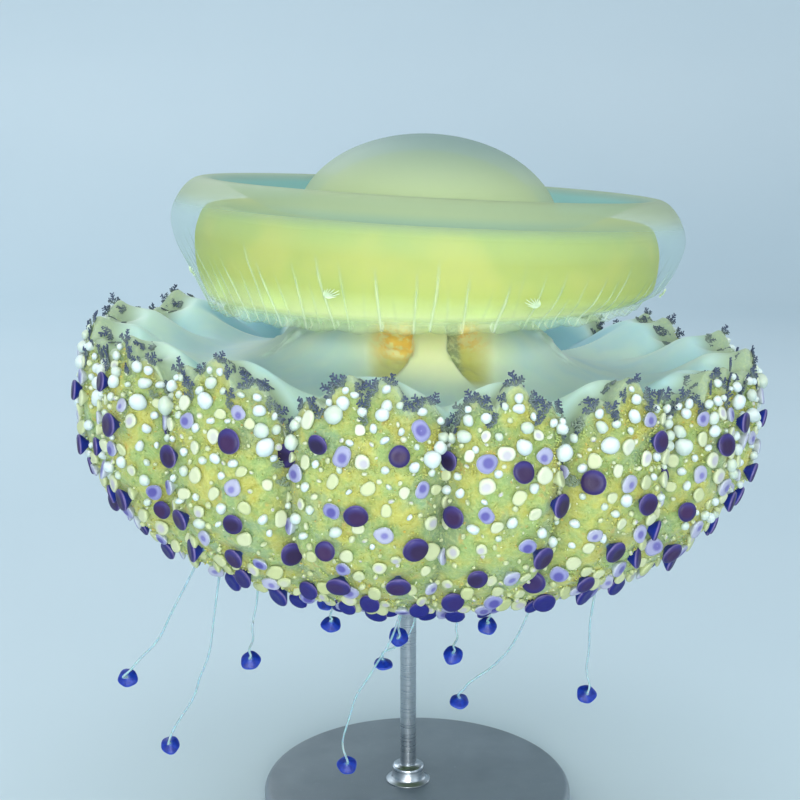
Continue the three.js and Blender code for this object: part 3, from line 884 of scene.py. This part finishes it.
def coat_piece(name, shapes, material):
    """One mesh of many copies. shapes is a list of (shape, centres, frame, sizes, map places, values)."""
    parts, uvs, values = [], [], {}
    for (base, base_faces, along), centres, frame_of, sizes, places, numbers in shapes:
        count, each = len(centres), len(base)
        scaled = base[None] * np.broadcast_to(sizes, (count, 3))[:, None, :]
        from_centre = sum(scaled[..., i, None] * axis[:, None] for i, axis in enumerate(frame_of))
        copies = np.arange(count)[:, None, None] * each
        faces = [(face[None] + copies).reshape(-1, face.shape[1]) for face in base_faces]
        parts.append(((centres[:, None] + from_centre).reshape(-1, 3), faces))
        spread = base[:, :2] / np.abs(base[:, :2]).max() / 2
        uvs.append((places[:, None] + PATCH * spread[None]).reshape(-1, 2))
        heart = rng.normal(0, 0.13, (count, 1, 2))
        rows = {key: np.broadcast_to(number[:, None], (count, each)) for key, number in numbers.items()}
        rows["along"] = np.broadcast_to(along, (count, each))
        rows["spot"] = np.linalg.norm(base[None, :, :2] - heart, axis=-1)
        rows["lift"] = from_centre[..., 2] / np.max(sizes, axis=-1, keepdims=True)
        for key, row in rows.items():
            values.setdefault(key, []).append(row.ravel())
    points, faces = joined(parts)
    values = {key: np.concatenate(kept) for key, kept in values.items()}
    piece = mesh_object(name, points, faces, material, values)
    corners = np.concatenate([face.ravel() for face in faces])
    layer = piece.data.uv_layers.new(name="OFBake")
    layer.data.foreach_set("uv", np.concatenate(uvs)[corners].ravel())
    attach(piece, "root")


class Sites:
    """Places taken on the arms, so that what is scattered later keeps clear of what is there."""

    def __init__(self):
        self.points, self.sizes = np.zeros((0, 3)), np.zeros(0)

    def take(self, places, sizes):
        self.points = np.concatenate([self.points, places])
        self.sizes = np.append(self.sizes, sizes)

    def gap(self, place):
        """The distance in mm from a place to the nearest shape."""
        return (np.linalg.norm(self.points - place, axis=1) - self.sizes).min()

    def scatter(self, tries, sizes, shares, room, apart):
        """Bearings, shares and sizes of places picked at random, as a row of BUTTONS says."""
        bearing = rng.uniform(0, 360, tries)
        share = rng.uniform(*shares, tries)
        size = rng.uniform(*sizes, tries)
        places = skin_place(bearing, share)
        wanted = rng.uniform(0, BODY_RADIUS, tries) < np.hypot(places[:, 0], places[:, 1])
        kept = []
        for i in np.flatnonzero(wanted):
            near = np.linalg.norm(self.points - places[i], axis=1) < room * (self.sizes + size[i])
            if near.any() or (kept and np.linalg.norm(places[kept] - places[i], axis=1).min() < apart):
                continue
            kept.append(i)
            self.take(places[i : i + 1], size[i])
        return bearing[kept], share[kept], size[kept]


def tips():
    """The bearing of each tip of the arms' edge, with half the angle that it spans."""
    rows = []
    for start, width in zip(LOBE_EDGES, np.diff(np.append(LOBE_EDGES, LOBE_EDGES[0] + 360))):
        count = 4 if width >= WIDE_LOBE else 3
        rows += [(start + width * (i + 0.5) / count, width / count / 2) for i in range(count)]
    return np.array(rows)


def tip_chains():
    """White beads down the middle of each tip, larger from one to the next: bearing, share and size."""
    rows = []
    for bearing, half in tips():
        down, beside = rng.uniform(0.8, 2.4), rng.uniform(-0.3, 0.3) * half
        for size in np.linspace(rng.uniform(0.9, 1.4), rng.uniform(1.8, 2.6), rng.integers(3, 5)):
            rows.append((bearing + beside, share_below(bearing, down + size), size))
            down += size * CHAIN_STEP
            beside += rng.uniform(-0.3, 0.3) * half
    return np.array(rows).T


def on_skin(kinds, where, raised, oval=(0.88, 1.0), tilt=0.12, lifted=0.0):
    """What coat_piece() needs for copies of some shapes that face out of the skin: where gives bearings,
    shares and sizes, raised is a share of each one's size, and lifted is in mm."""
    made = []
    for number, shape in enumerate(kinds):
        bearing, share, size = [row[number :: len(kinds)] for row in where]
        count = len(bearing)
        lean_up, lean_across = rng.normal(0, tilt, (2, count))
        lean_up = lean_up + UNDERSIDE_LEAN * smooth(share, 0.9, 1.7)
        frame_of = turned(skin_frame(bearing, share), 0, lean_up, lean_across)
        frame_of = turned(frame_of, rng.uniform(0, 2 * math.pi, count))
        centres = skin_place(bearing, share) + frame_of[2] * (raised * size + lifted)[:, None]
        sizes = np.stack([size, size * rng.uniform(*oval, count), size], -1)
        values = {"tint": rng.uniform(0, 1, count), "low": share}
        made.append((shape, centres, frame_of, sizes, map_place(bearing, share), values))
    return made


def buttons(sites):
    cups, beads = lathe_kinds(CUP, 22, 7, 0.04), lathe_kinds(BEAD, 14, 7, 0.12)
    soft_cups = lathe_kinds(CUP, 16, 7, 0.12)
    chain = tip_chains()
    sites.take(skin_place(*chain[:2]), chain[2])
    dark, lavender, cream, white, small = [sites.scatter(*row) for row in BUTTONS.values()]
    made = on_skin(cups, dark, raised=1.0, oval=(0.92, 1.0))
    coat_piece("buttons_dark", made, dark_material())
    made = on_skin(soft_cups, lavender, raised=0.9)
    coat_piece("buttons_lavender", made, lavender_material())
    made = on_skin(soft_cups, cream, raised=0.75, oval=(0.75, 1.0))
    coat_piece("buttons_cream", made, cream_material())
    made = on_skin(beads, chain, raised=0.6, oval=(0.72, 1.0), tilt=0.3, lifted=0.9)
    made += on_skin(beads, white, raised=0.55, oval=(0.55, 1.0), tilt=0.3, lifted=0.4)
    coat_piece("beads_white", made, white_material())
    made = on_skin(lathe_kinds(BEAD, 9, 7, 0.12), small, raised=0.6, oval=(0.5, 1.0), tilt=0.4, lifted=0.3)
    coat_piece("beads_small", made, cream_material())


def curls():
    """The fine fuzz of the tissue between the buttons."""
    bearing, share = rng.uniform(0, 360, CURL_TRIES), rng.uniform(0.03, 1.9, CURL_TRIES)
    reach = np.hypot(*skin_place(bearing, share)[:, :2].T)
    keep = rng.uniform(0, BODY_RADIUS, len(reach)) < reach
    bearing, share = bearing[keep][:CURLS], share[keep][:CURLS]
    where = np.array([bearing, share, rng.uniform(0.2, 0.42, len(bearing))])
    kinds = lathe_kinds(BLADE, 4, 3, 0.2)
    paint = curl_material()
    for number, half in enumerate(np.array_split(where, 2, 1), 1):
        made = on_skin(kinds, half, raised=0.3, oval=(0.5, 1.0), tilt=0.6, lifted=0.2)
        coat_piece(f"frill_curls_{number}", made, paint)


def leaf(pick, angle, length):
    """The twigs of one lobed leaf, which grows from near the middle at an angle from the y axis."""
    turn = angle + np.linspace(0, pick.uniform(-0.3, 0.3), 4)
    steps = length / 3 * np.stack([np.sin(turn), np.cos(turn), pick.uniform(-0.05, 0.2, 4)], -1)
    stem = (0, -0.1, 0) + np.concatenate([np.zeros((1, 3)), np.cumsum(steps[:3], axis=0)])
    twigs = [tube(stem, np.array([0.07, 0.08, 0.074, 0.06]), 4)]
    for place, reach in ((0.4, 0.2), (0.66, 0.24), (0.9, 0.17)):
        foot = through(stem, np.array([place]))[0]
        for side in (-1, 1):
            lean = angle + side * pick.uniform(0.75, 1.15)
            way = np.array([math.sin(lean), math.cos(lean), pick.uniform(-0.1, 0.3)])
            tip = foot + way * length * reach * pick.uniform(0.8, 1.3) * 1.3
            twigs.append(tube([foot, tip], np.array([0.058, 0.07]), 4))
    return twigs


def fern(kind):
    """A flat cluster of three leaves, about 1 high, that grows along y: points, faces, and height for its
    colour."""
    pick = np.random.default_rng(kind)
    twigs = leaf(pick, pick.uniform(-0.12, 0.12), 0.95)
    twigs += leaf(pick, -pick.uniform(0.75, 1.0), 0.72)
    twigs += leaf(pick, pick.uniform(0.75, 1.0), 0.72)
    points, faces = joined(twigs)
    return points, faces, np.clip(points[:, 1], 0, 1)


def outer_ferns(sites):
    """Rows for ferny frills along each tip's edge and down into the valleys: bearing, mm below the edge,
    size, spin and paleness."""
    rows = []
    for bearing, half in tips():
        for place, down, size in TIP_FERNS:
            if rng.uniform() < 0.9:
                beside = place + rng.uniform(-0.1, 0.1)
                grown = size * rng.uniform(0.75, 1.1)
                lower = down + rng.uniform(-0.4, 0.8)
                rows.append((bearing + beside * half, lower, grown, beside * 0.6, down / 12))
    for number, bearing in enumerate(LOBE_EDGES):
        for down in np.arange(0.5, VALLEY_FERNS[number % 2], VALLEY_FERN_STEP):
            for side in (-1, 1):
                place = bearing + side * rng.uniform(0.5, 3.2)
                size, spin = rng.uniform(2.4, 3.6), -side * rng.uniform(0.1, 0.8)
                rows.append((place, down, size, spin, 0.6 + down / 26))
    rows = np.array(rows)
    places = skin_place(rows[:, 0], share_below(rows[:, 0], rows[:, 1] + FERN_ROOT))
    clear = [sites.gap(place) > FERN_ROOM for place in places]
    return rows[(rows[:, 1] < 2) | clear]


def ferns(sites):
    """Frills of ferns: outer ones on the skin, and two rows on the upper surface near its edge."""
    bearings, down, sizes, spins, tints = outer_ferns(sites).T
    shares = share_below(bearings, down + FERN_ROOT)
    inner = [(b + side * half / 2, r) for b, half in tips() for side in (-1, 1) for r in INNER_FERN_RADII]
    inner = np.array(inner)
    inner = inner[rng.uniform(size=len(inner)) < 0.7]
    inner = inner + rng.uniform(-0.5, 0.5, inner.shape)
    shapes = []
    for kind in range(FERN_KINDS):
        shape = fern(kind)
        mine = slice(kind, None, FERN_KINDS)
        bearing, share, size = bearings[mine], shares[mine], sizes[mine]
        count = len(bearing)
        leans = rng.normal(-0.25, 0.2, count), rng.normal(0, 0.2, count)
        frame_of = turned(skin_frame(bearing, share), -spins[mine], *leans)
        centres = skin_place(bearing, share) + frame_of[2] * FERN_LIFT
        values = {"tint": tints[mine] + rng.normal(0, 0.1, count)}
        shapes.append((shape, centres, frame_of, size[:, None], map_place(bearing, share), values))
        bearing, radius = inner[mine].T
        count = len(bearing)
        spin, leans = rng.uniform(-0.7, 0.7, count), rng.normal(0.1, 0.15, (2, count))
        frame_of = turned(frame_on(bowl_place, bearing, radius, 0.4), spin, *leans)
        size, values = rng.uniform(2.8, 3.8, count), {"tint": rng.uniform(0, 0.5, count)}
        centres, places = bowl_place(bearing, radius), map_place(bearing, 0 * bearing)
        shapes.append((shape, centres, frame_of, size[:, None], places, values))
    coat_piece("tip_ferns", shapes, fern_material())


def button_paint(name, **settings):
    """Smooth, faintly glossy skin."""
    paint = Paint(name, roughness=0.5, coat_weight=0.04, coat_roughness=0.3, specular_ior_level=0.35,
                  subsurface_radius=(0.6, 0.7, 0.9), subsurface_scale=1 * MM, **settings)
    paint.bump(paint.noise(0.5, 3), 0.05)
    return paint


def dark_material():
    """Dark violet faces, bluer towards their rim and, as painted light from above, lighter and bluer towards
    their top, with a thin lilac rim, royal blue behind.
    """
    paint = button_paint("buttons_dark_violet")
    along, spot, low, tint, lift = paint.values("along", "spot", "low", "tint", "lift")
    colour = paint.over(
        (36, 24, 62),
        (tint, (56, 30, 76)),
        (paint.rise(spot, 0.5, 0.9), (46, 36, 92)),
        # painted light: the upper part of each face lighter and bluer
        (paint.rise(lift, 0.1, 0.9, 0, 0.35), (70, 64, 148)),
        (paint.rise(low, 1.25, 1.6), (18, 26, 116)),
        (paint.rise(along, 0.33, 0.41), (112, 100, 158)),
        (paint.rise(along, 0.44, 0.52), (20, 38, 140)),
        (paint.rise(along, 0.76, 0.92), (150, 186, 196)),
    )
    return paint.finished(colour)


def lavender_material():
    """A blue-violet heart in a pale lilac bell."""
    paint = button_paint("buttons_lavender")
    along, spot, tint = paint.values("along", "spot", "tint")
    wide = paint.maths("ADD", spot, paint.times(tint, 0.25))
    colour = paint.over(
        paint.mix(tint, (76, 72, 146), (124, 120, 178)),
        (paint.rise(wide, 0.42, 0.78), paint.mix(tint, (128, 130, 180), (174, 176, 196))),
        (paint.rise(spot, 0, 0.16, 0.35, 0), (180, 182, 220)),
        (paint.rise(along, 0.3, 0.42), (188, 196, 208)),
        (paint.rise(along, 0.6, 0.8), (190, 208, 190)),
    )
    return paint.finished(colour)


def cream_material():
    """Clear yellowish cream, yellower low on the arms, some with a grey-lilac heart."""
    paint = button_paint("buttons_cream")
    along, spot, tint, low = paint.values("along", "spot", "tint", "low")
    low = paint.rise(low, 0.7, 1.5, 0, 0.55)
    heart = paint.times(paint.rise(tint, 0.72, 0.78), paint.rise(spot, 0.3, 0.8, 0.8, 0))
    colour = paint.over(
        (196, 204, 162),
        (paint.rise(tint, 0.1, 0.6), (212, 218, 194)),
        (low, (166, 174, 102)),
        (heart, (176, 172, 190)),
        (paint.rise(along, 0.22, 0.42), paint.mix(low, (202, 212, 176), (180, 190, 122))),
    )
    return paint.finished(colour)


def white_material():
    paint = button_paint("beads_white", subsurface_weight=0.5)
    tint, lift = paint.values("tint", "lift")
    colour = paint.over(
        (218, 228, 226),
        (paint.rise(tint, 0.4, 1.0), (202, 214, 194)),
        # painted shade: the lower side of each bead darker and greyer
        (paint.rise(lift, -0.5, 0.6, 0.45, 0), (168, 190, 188)),
    )
    return paint.finished(colour)


def curl_material():
    """As the tissue under them, with a few paler, whiter and more orange ones."""
    paint = Paint("frill_curls", roughness=0.6, specular_ior_level=0.25)
    tint, low = paint.values("tint", "low")
    colour = paint.over(
        frill_colour(paint),
        (paint.rise(tint, 0.2, 0.7, 0, 0.4), (200, 206, 128)),
        (paint.rise(low, 0.04, 0.26, 0.7, 0), (164, 182, 148)),
        (paint.rise(tint, 0.93, 0.95, 0, 0.55), (238, 246, 226)),
        (paint.rise(tint, 0.03, 0.05, 0.45, 0), (222, 166, 84)),
    )
    return paint.finished(colour)


def fern_material():
    """Dark slate at the tips' edge, grey-green down in the valleys."""
    paint = Paint("tip_ferns", roughness=0.6, specular_ior_level=0.3)
    tint, along = paint.values("tint", "along")
    colour = paint.over(
        (72, 84, 110),
        (paint.rise(tint, 0.1, 1.0), (128, 144, 122)),
        (paint.rise(along, 0, 0.5, 0.4, 0), (140, 156, 126)),
    )
    return paint.finished(colour)


# --- The long filaments, each with a navy disc at its end ---
ROOT_RISE, THREAD_RADIUS, THREAD_SWAY = 2.4, 0.33, 0.35  # ROOT_RISE: how far its root is inside the arms
THREAD_END = (3.8, 0.9)  # mm above the disc's middle between which the thread is straight
# Root [x, y] on the underside, [x, y, z] places on the way, the disc's middle, and its nod in degrees.
FILAMENTS = [
    ((-60, -25), [(-72, -25, -69)], (-80.8, -26, -82), 50),
    ((-55, -20), [(-58, -20, -74), (-62, -21, -88)], (-68.7, -21, -104.7), 40),
    ((-43, -32), [(-44, -34, -62)], (-44.2, -36, -70.7), 45),
    ((-1, -30), [(-5, -30, -66), (-10, -30, -75), (-14, -30, -84), (-17, -30, -95)], (-15.5, -30, -104),
     45),
    ((4, -26), [(0, -24, -66)], (-6.4, -20, -76), 15),
    ((38, -25), [(30, -25, -68), (21, -25, -77)], (16.5, -25, -84.5), 25),
    ((54, -25), [(53, -25, -66)], (53.5, -26, -80), 50),
    ((-22, 44), [(-24, 47, -68)], (-27, 50, -83), 30),
    ((14, -31), [(14, -33, -60)], (13.2, -35, -66.5), 45),
]
# Shorter ones close under the arms, which the solids leave out: nothing on the way.
SHORT_FILAMENTS = [
    ((-22, -27), [], (-22.1, -28, -61.6), 35),
    ((-2, -24), [], (-2.4, -25, -65.6), 60),
    ((23, -28), [], (22.8, -30, -59), 40),
]
DOUBLE_THREADS = (2, 4)  # the filaments whose thread is two solids
DISC = [(0, 1.35), (0.5, 1.3), (1.0, 1.0), (1.7, 0.55), (2.5, 0.2), (2.85, -0.1), (2.8, -0.45),
        (2.4, -0.72), (1.6, -0.6), (0.8, -0.42)]
DISC_SIDES, DISH = 36, -0.36  # DISH is the height of the middle of the dished face


def underside(x, y):
    """Height of the arms' underside below a place."""
    radius, bearing = math.hypot(x, y), math.degrees(math.atan2(x, -y))
    r, z = wall(np.linspace(1, 2, 200), np.full(200, bearing), 0)
    return float(np.interp(radius, r[::-1], z[::-1]))


def thread(number, root, way, tip, facing):
    """A gently swaying thread, thicker at its root and where it meets its disc."""
    top = np.array([*root, underside(*root) + ROOT_RISE])
    share = np.linspace(0, 1, 60)
    path = through(np.array([top, *way, *[tip + facing * height for height in THREAD_END]]), share)
    sway = THREAD_SWAY * np.sin(share * 23 + number * 2.1) * np.sin(share * math.pi)
    radii = THREAD_RADIUS * (1 + 0.9 * (1 - smooth(share, 0, 0.12)) + 0.5 * smooth(share, 0.9, 1))
    return tube(path + np.outer(sway, (1, 0.4, 0)), radii, 10)


def disc(number, tip, facing):
    """A cone with a dished face, whose point is towards facing: its points, faces and shares along DISC."""
    waves = [(count, 0.03, number * count) for count in (2, 3, 5)]
    base, faces, along = lathe_shape(DISC, DISC_SIDES, waves)
    across = unit(np.cross((0.2, 1, 0), facing))
    points = np.concatenate([base, [(0, 0, DISH)]]) @ np.stack([across, np.cross(facing, across), facing])
    face = fan(len(base) - DISC_SIDES, DISC_SIDES, len(base), False)
    return points + tip, [*faces, face], [*along, 1]


def filaments():
    """The threads in one piece, and their discs in another."""
    threads, discs, alongs = [], [], []
    for number, (root, way, tip, nod) in enumerate([*FILAMENTS, *SHORT_FILAMENTS]):
        facing = np.array([0, -math.sin(math.radians(nod)), math.cos(math.radians(nod))])
        threads.append(thread(number, root, way, tip, facing))
        *shape, along = disc(number, tip, facing)
        discs.append(shape)
        alongs += along
    threads = mesh_object("filament_threads", *joined(threads), thread_material())
    discs = mesh_object("filament_discs", *joined(discs), disc_material(), {"along": alongs})
    numbers = range(1, len(FILAMENTS) + 1)
    names = [f"filament_{k}_thread" for k in numbers if k not in DOUBLE_THREADS]
    names += [f"filament_{k}_thread_{part}" for k in DOUBLE_THREADS for part in (1, 2)]
    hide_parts(*names)
    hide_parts(*[f"filament_{k}_disc" for k in numbers])
    return threads, discs


def thread_material():
    """Clear whitish gel, a little uneven along its length."""
    paint = Paint("filament_gel", roughness=0.35, subsurface_weight=0.3, subsurface_scale=1 * MM)
    cloud = paint.noise(4, 3)
    colour = paint.mix(cloud, (136, 180, 196), (186, 214, 218))
    return paint.finished(colour, paint.rise(cloud, 0.3, 0.7, 0.45, 0.75))


def disc_material():
    """Royal blue, darker and more violet in the dished face, with a thin paler rim."""
    paint = Paint("filament_disc_navy", roughness=0.45, subsurface_weight=0.1, subsurface_scale=1 * MM)
    [along] = paint.values("along")
    paint.bump(paint.noise(0.6, 3), 0.06)
    colour = paint.over(
        (0, 32, 134),
        (paint.clouds(1.2, 3, 0.35, 0.65), (6, 50, 164)),
        (paint.rise(along, 0.05, 0.25, 0.6, 0), (96, 132, 196)),
        (paint.rise(along, 0.48, 0.56), (52, 84, 188)),
        (paint.rise(along, 0.62, 0.74), (20, 22, 96)),
    )
    return paint.finished(colour)


# --- The display stand ---
STAND_BASE_RADIUS, STAND_BASE_HEIGHT, STAND_ROUNDING = 48, 8, 2
ROD_RADIUS, ROD_X, ROD_TOP = 2.5, -2.85, 75.4
FOOT = [(0, 2.6), (0.3, 1.9), (1.2, 1.6), (2, 1.5), (2, 0.1), (3, 0.0)]  # mm in from the edge, and height
COLLAR = [(2.5, 13.2), (4.4, 13.1), (4.9, 12.7), (5, 12.2), (5, 9.2), (5.6, 8.6), (6.8, 8.3), (7, 8.05),
          (2, 8.02)]


def turned_piece(name, outline, sides, x, material):
    """A solid turned about an upright axis at x, in mm above the floor, from its top to its foot."""
    outline = np.array(outline)
    bearing = np.arange(sides) * 360 / sides
    rings = [polar(radius, bearing, z) + (x, 0, 0) for radius, z in outline]
    points = np.concatenate([[(x, 0, outline[0, 1])], *rings, [(x, 0, outline[-1, 1])]])
    values = {"radius": np.hypot(points[:, 0] - x, points[:, 1])}
    return mesh_object(name, points, ring_faces([sides] * len(outline)), material, values, upright)


def stand():
    """A turned base with rounded edges and a shadow gap, and a steel rod in a small collar."""
    edge, height, rounding = STAND_BASE_RADIUS, STAND_BASE_HEIGHT, STAND_ROUNDING
    turn = np.linspace(0, math.pi / 2, 8)
    rounded = [(edge + rounding * (math.sin(a) - 1), height + rounding * (math.cos(a) - 1)) for a in turn]
    foot = [(edge - inset, z) for inset, z in FOOT]
    outline = [*[(radius, height) for radius in (6, 20, 40)], *rounded, *foot, (20, 0)]
    base = turned_piece("stand_turned_base", outline, 144, 0, base_material())
    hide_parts("stand_base")
    shaft = [(1.2, ROD_TOP + 1.4), (2.1, ROD_TOP + 0.8), (ROD_RADIUS, ROD_TOP)]
    shaft += [(ROD_RADIUS, z) for z in np.linspace(ROD_TOP - 2, 13.4, 12)]
    rod = turned_piece("stand_turned_rod", [*shaft, *COLLAR], 64, ROD_X, steel_material())
    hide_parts("stand_rod")
    return base, rod


def base_material():
    """Satin slate-blue paint with the faint rings and specks of a turned, sprayed finish."""
    paint = Paint("stand_slate_paint", coat_weight=0.15, coat_roughness=0.35)
    [radius] = paint.values("radius")
    paint.set("Roughness", paint.clouds(12, 4, 0.3, 0.7, 0.38, 0.52))
    paint.bump(paint.maths("SINE", paint.times(radius, 9.0)), 0.01, 0.5)
    paint.bump(paint.noise(0.5, 3), 0.03, 0.6)
    colour = paint.over(
        (92, 106, 118),
        (paint.clouds(30, 4, 0.35, 0.65), (104, 118, 130)),
        (paint.clouds(0.7, 2, 0.68, 0.74, 0, 0.5), (128, 142, 152)),
        (paint.rise(radius, 46.4, 47.6, 0, 0.35), (132, 146, 156)),
    )
    return paint.finished(colour)


def steel_material():
    """Brushed steel: fine streaks round the rod."""
    paint = Paint("stand_brushed_steel", metallic=1.0)
    stretched = paint.node("Mapping", {"Vector": paint.place(), "Scale": (60, 60, 2600)}).outputs["Vector"]
    streaks = paint.node("TexNoise", {"Vector": stretched, "Scale": 1.0, "Detail": 3.0}).outputs["Fac"]
    paint.set("Roughness", paint.rise(streaks, 0.3, 0.7, 0.24, 0.4))
    paint.bump(streaks, 0.01, 0.5)
    return paint.finished(paint.mix(streaks, (150, 158, 166), (186, 192, 198)))


# --- The stage, camera and lights, in metres ---
AIM = Vector((-0.0054, 0, 0.130))
CAMERA_ABOVE, CAMERA_DISTANCE, CAMERA_LENS = math.radians(11), 0.42, 63
LAMP_AIM = Vector((0, 0, 0.13))
SKY_COLOUR, SKY_STRENGTH = (218, 232, 240), 0.55
# Name, place, side of the square, power in watts, colour, and the degrees that the light keeps within.
LAMPS = [
    ("key", (-0.65, -1.05, 0.55), 0.6, 3.0, (1.0, 0.99, 0.96), 180),
    ("front", (0.03, -0.95, 0.31), 0.35, 1.35, (0.98, 1.0, 0.98), 90),
    ("low", (-0.1, -0.95, 0.1), 0.5, 0.7, (0.98, 1.0, 0.98), 90),
    ("left", (-1.1, 0.7, 0.4), 0.8, 0.6, (0.94, 0.99, 1.0), 90),
    ("right", (1.1, 0.8, 0.4), 0.8, 0.6, (0.94, 0.99, 1.0), 90),
    ("side", (1.1, -0.9, 0.45), 0.8, 2.6, (0.92, 0.98, 1.0), 180),
    ("top", (0.0, -0.1, 1.5), 1.0, 4, (0.92, 0.98, 1.0), 180),
    ("back", (-0.6, 1.3, 1.2), 0.9, 9, (0.88, 0.96, 1.0), 180),
]
FLOOR_RADIUS, COVE, WALL_HEIGHT, FLOOR_SIDES = 1300, 500, 1000, 96  # mm, and the sides of the round floor


def camera():
    """A little above the level, a little under half a metre away."""
    data = bpy.data.cameras.new("camera")
    data.sensor_width, data.lens = 36, CAMERA_LENS
    data.clip_start, data.clip_end = 0.01, 20
    eye = bpy.data.objects.new("camera", data)
    eye.location = AIM - CAMERA_DISTANCE * Vector((0, math.cos(CAMERA_ABOVE), -math.sin(CAMERA_ABOVE)))
    eye.rotation_euler = (math.radians(90) - CAMERA_ABOVE, 0, 0)
    bpy.context.collection.objects.link(eye)
    bpy.context.scene.camera = eye


def lights():
    """Square lamps that face the middle of the animal, and an even pale sky."""
    for name, place, size, power, colour, spread in LAMPS:
        data = bpy.data.lights.new(name, "AREA")
        data.size, data.energy, data.color = size, power, colour
        data.spread = math.radians(spread)
        lamp = bpy.data.objects.new(name, data)
        lamp.location = place
        lamp.rotation_euler = (LAMP_AIM - Vector(place)).to_track_quat("-Z", "Y").to_euler()
        bpy.context.collection.objects.link(lamp)
    world = bpy.data.worlds.new("world")
    world.use_nodes = True
    background = world.node_tree.nodes["Background"]
    background.inputs["Color"].default_value = srgb(*SKY_COLOUR)
    background.inputs["Strength"].default_value = SKY_STRENGTH
    scene = bpy.context.scene
    scene.world = world
    scene.view_settings.view_transform = "Standard"


def stage():
    """A pale round floor that curves up into a wall all round, far behind any view."""
    turn = np.linspace(math.pi / 2, 0, 10)
    cove = np.stack([FLOOR_RADIUS + COVE * np.sin(turn), COVE - COVE * np.cos(turn)], -1)
    outline = [(FLOOR_RADIUS + COVE, WALL_HEIGHT), *cove, (800, 0), (300, 0)]
    bearing = np.arange(FLOOR_SIDES) * 360 / FLOOR_SIDES
    points = np.concatenate([*[polar(radius, bearing, z) for radius, z in outline], [(0, 0, 0)]])
    starts = np.arange(len(outline)) * FLOOR_SIDES
    faces = [band(start, start + FLOOR_SIDES, FLOOR_SIDES) for start in starts[:-1]]
    faces.append(fan(starts[-1], FLOOR_SIDES, len(points) - 1, False))
    mesh_object("stage_floor", points, faces, paper_material(), None, upright)


def paper_material():
    """Pale matt paper, lighter up the wall so that the backdrop looks even."""
    paint = Paint("stage_paper", roughness=0.9)
    height = paint.node("SeparateXYZ", {0: paint.place()}).outputs["Z"]
    colour = paint.over(
        (196, 212, 221),
        (paint.rise(height, 0, 0.3), (214, 226, 233)),
        (paint.clouds(240, 2, 0.3, 0.7, 0, 0.04), (255, 255, 255)),
    )
    return paint.finished(colour)


camera()
lights()
stage()
for piece in (bell_skin(), bell_core(), yolk_veils(), rhopalia(), body_skin(), *filaments(), *stand()):
    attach(piece, "root")
sites = Sites()
buttons(sites)
curls()
ferns(sites)
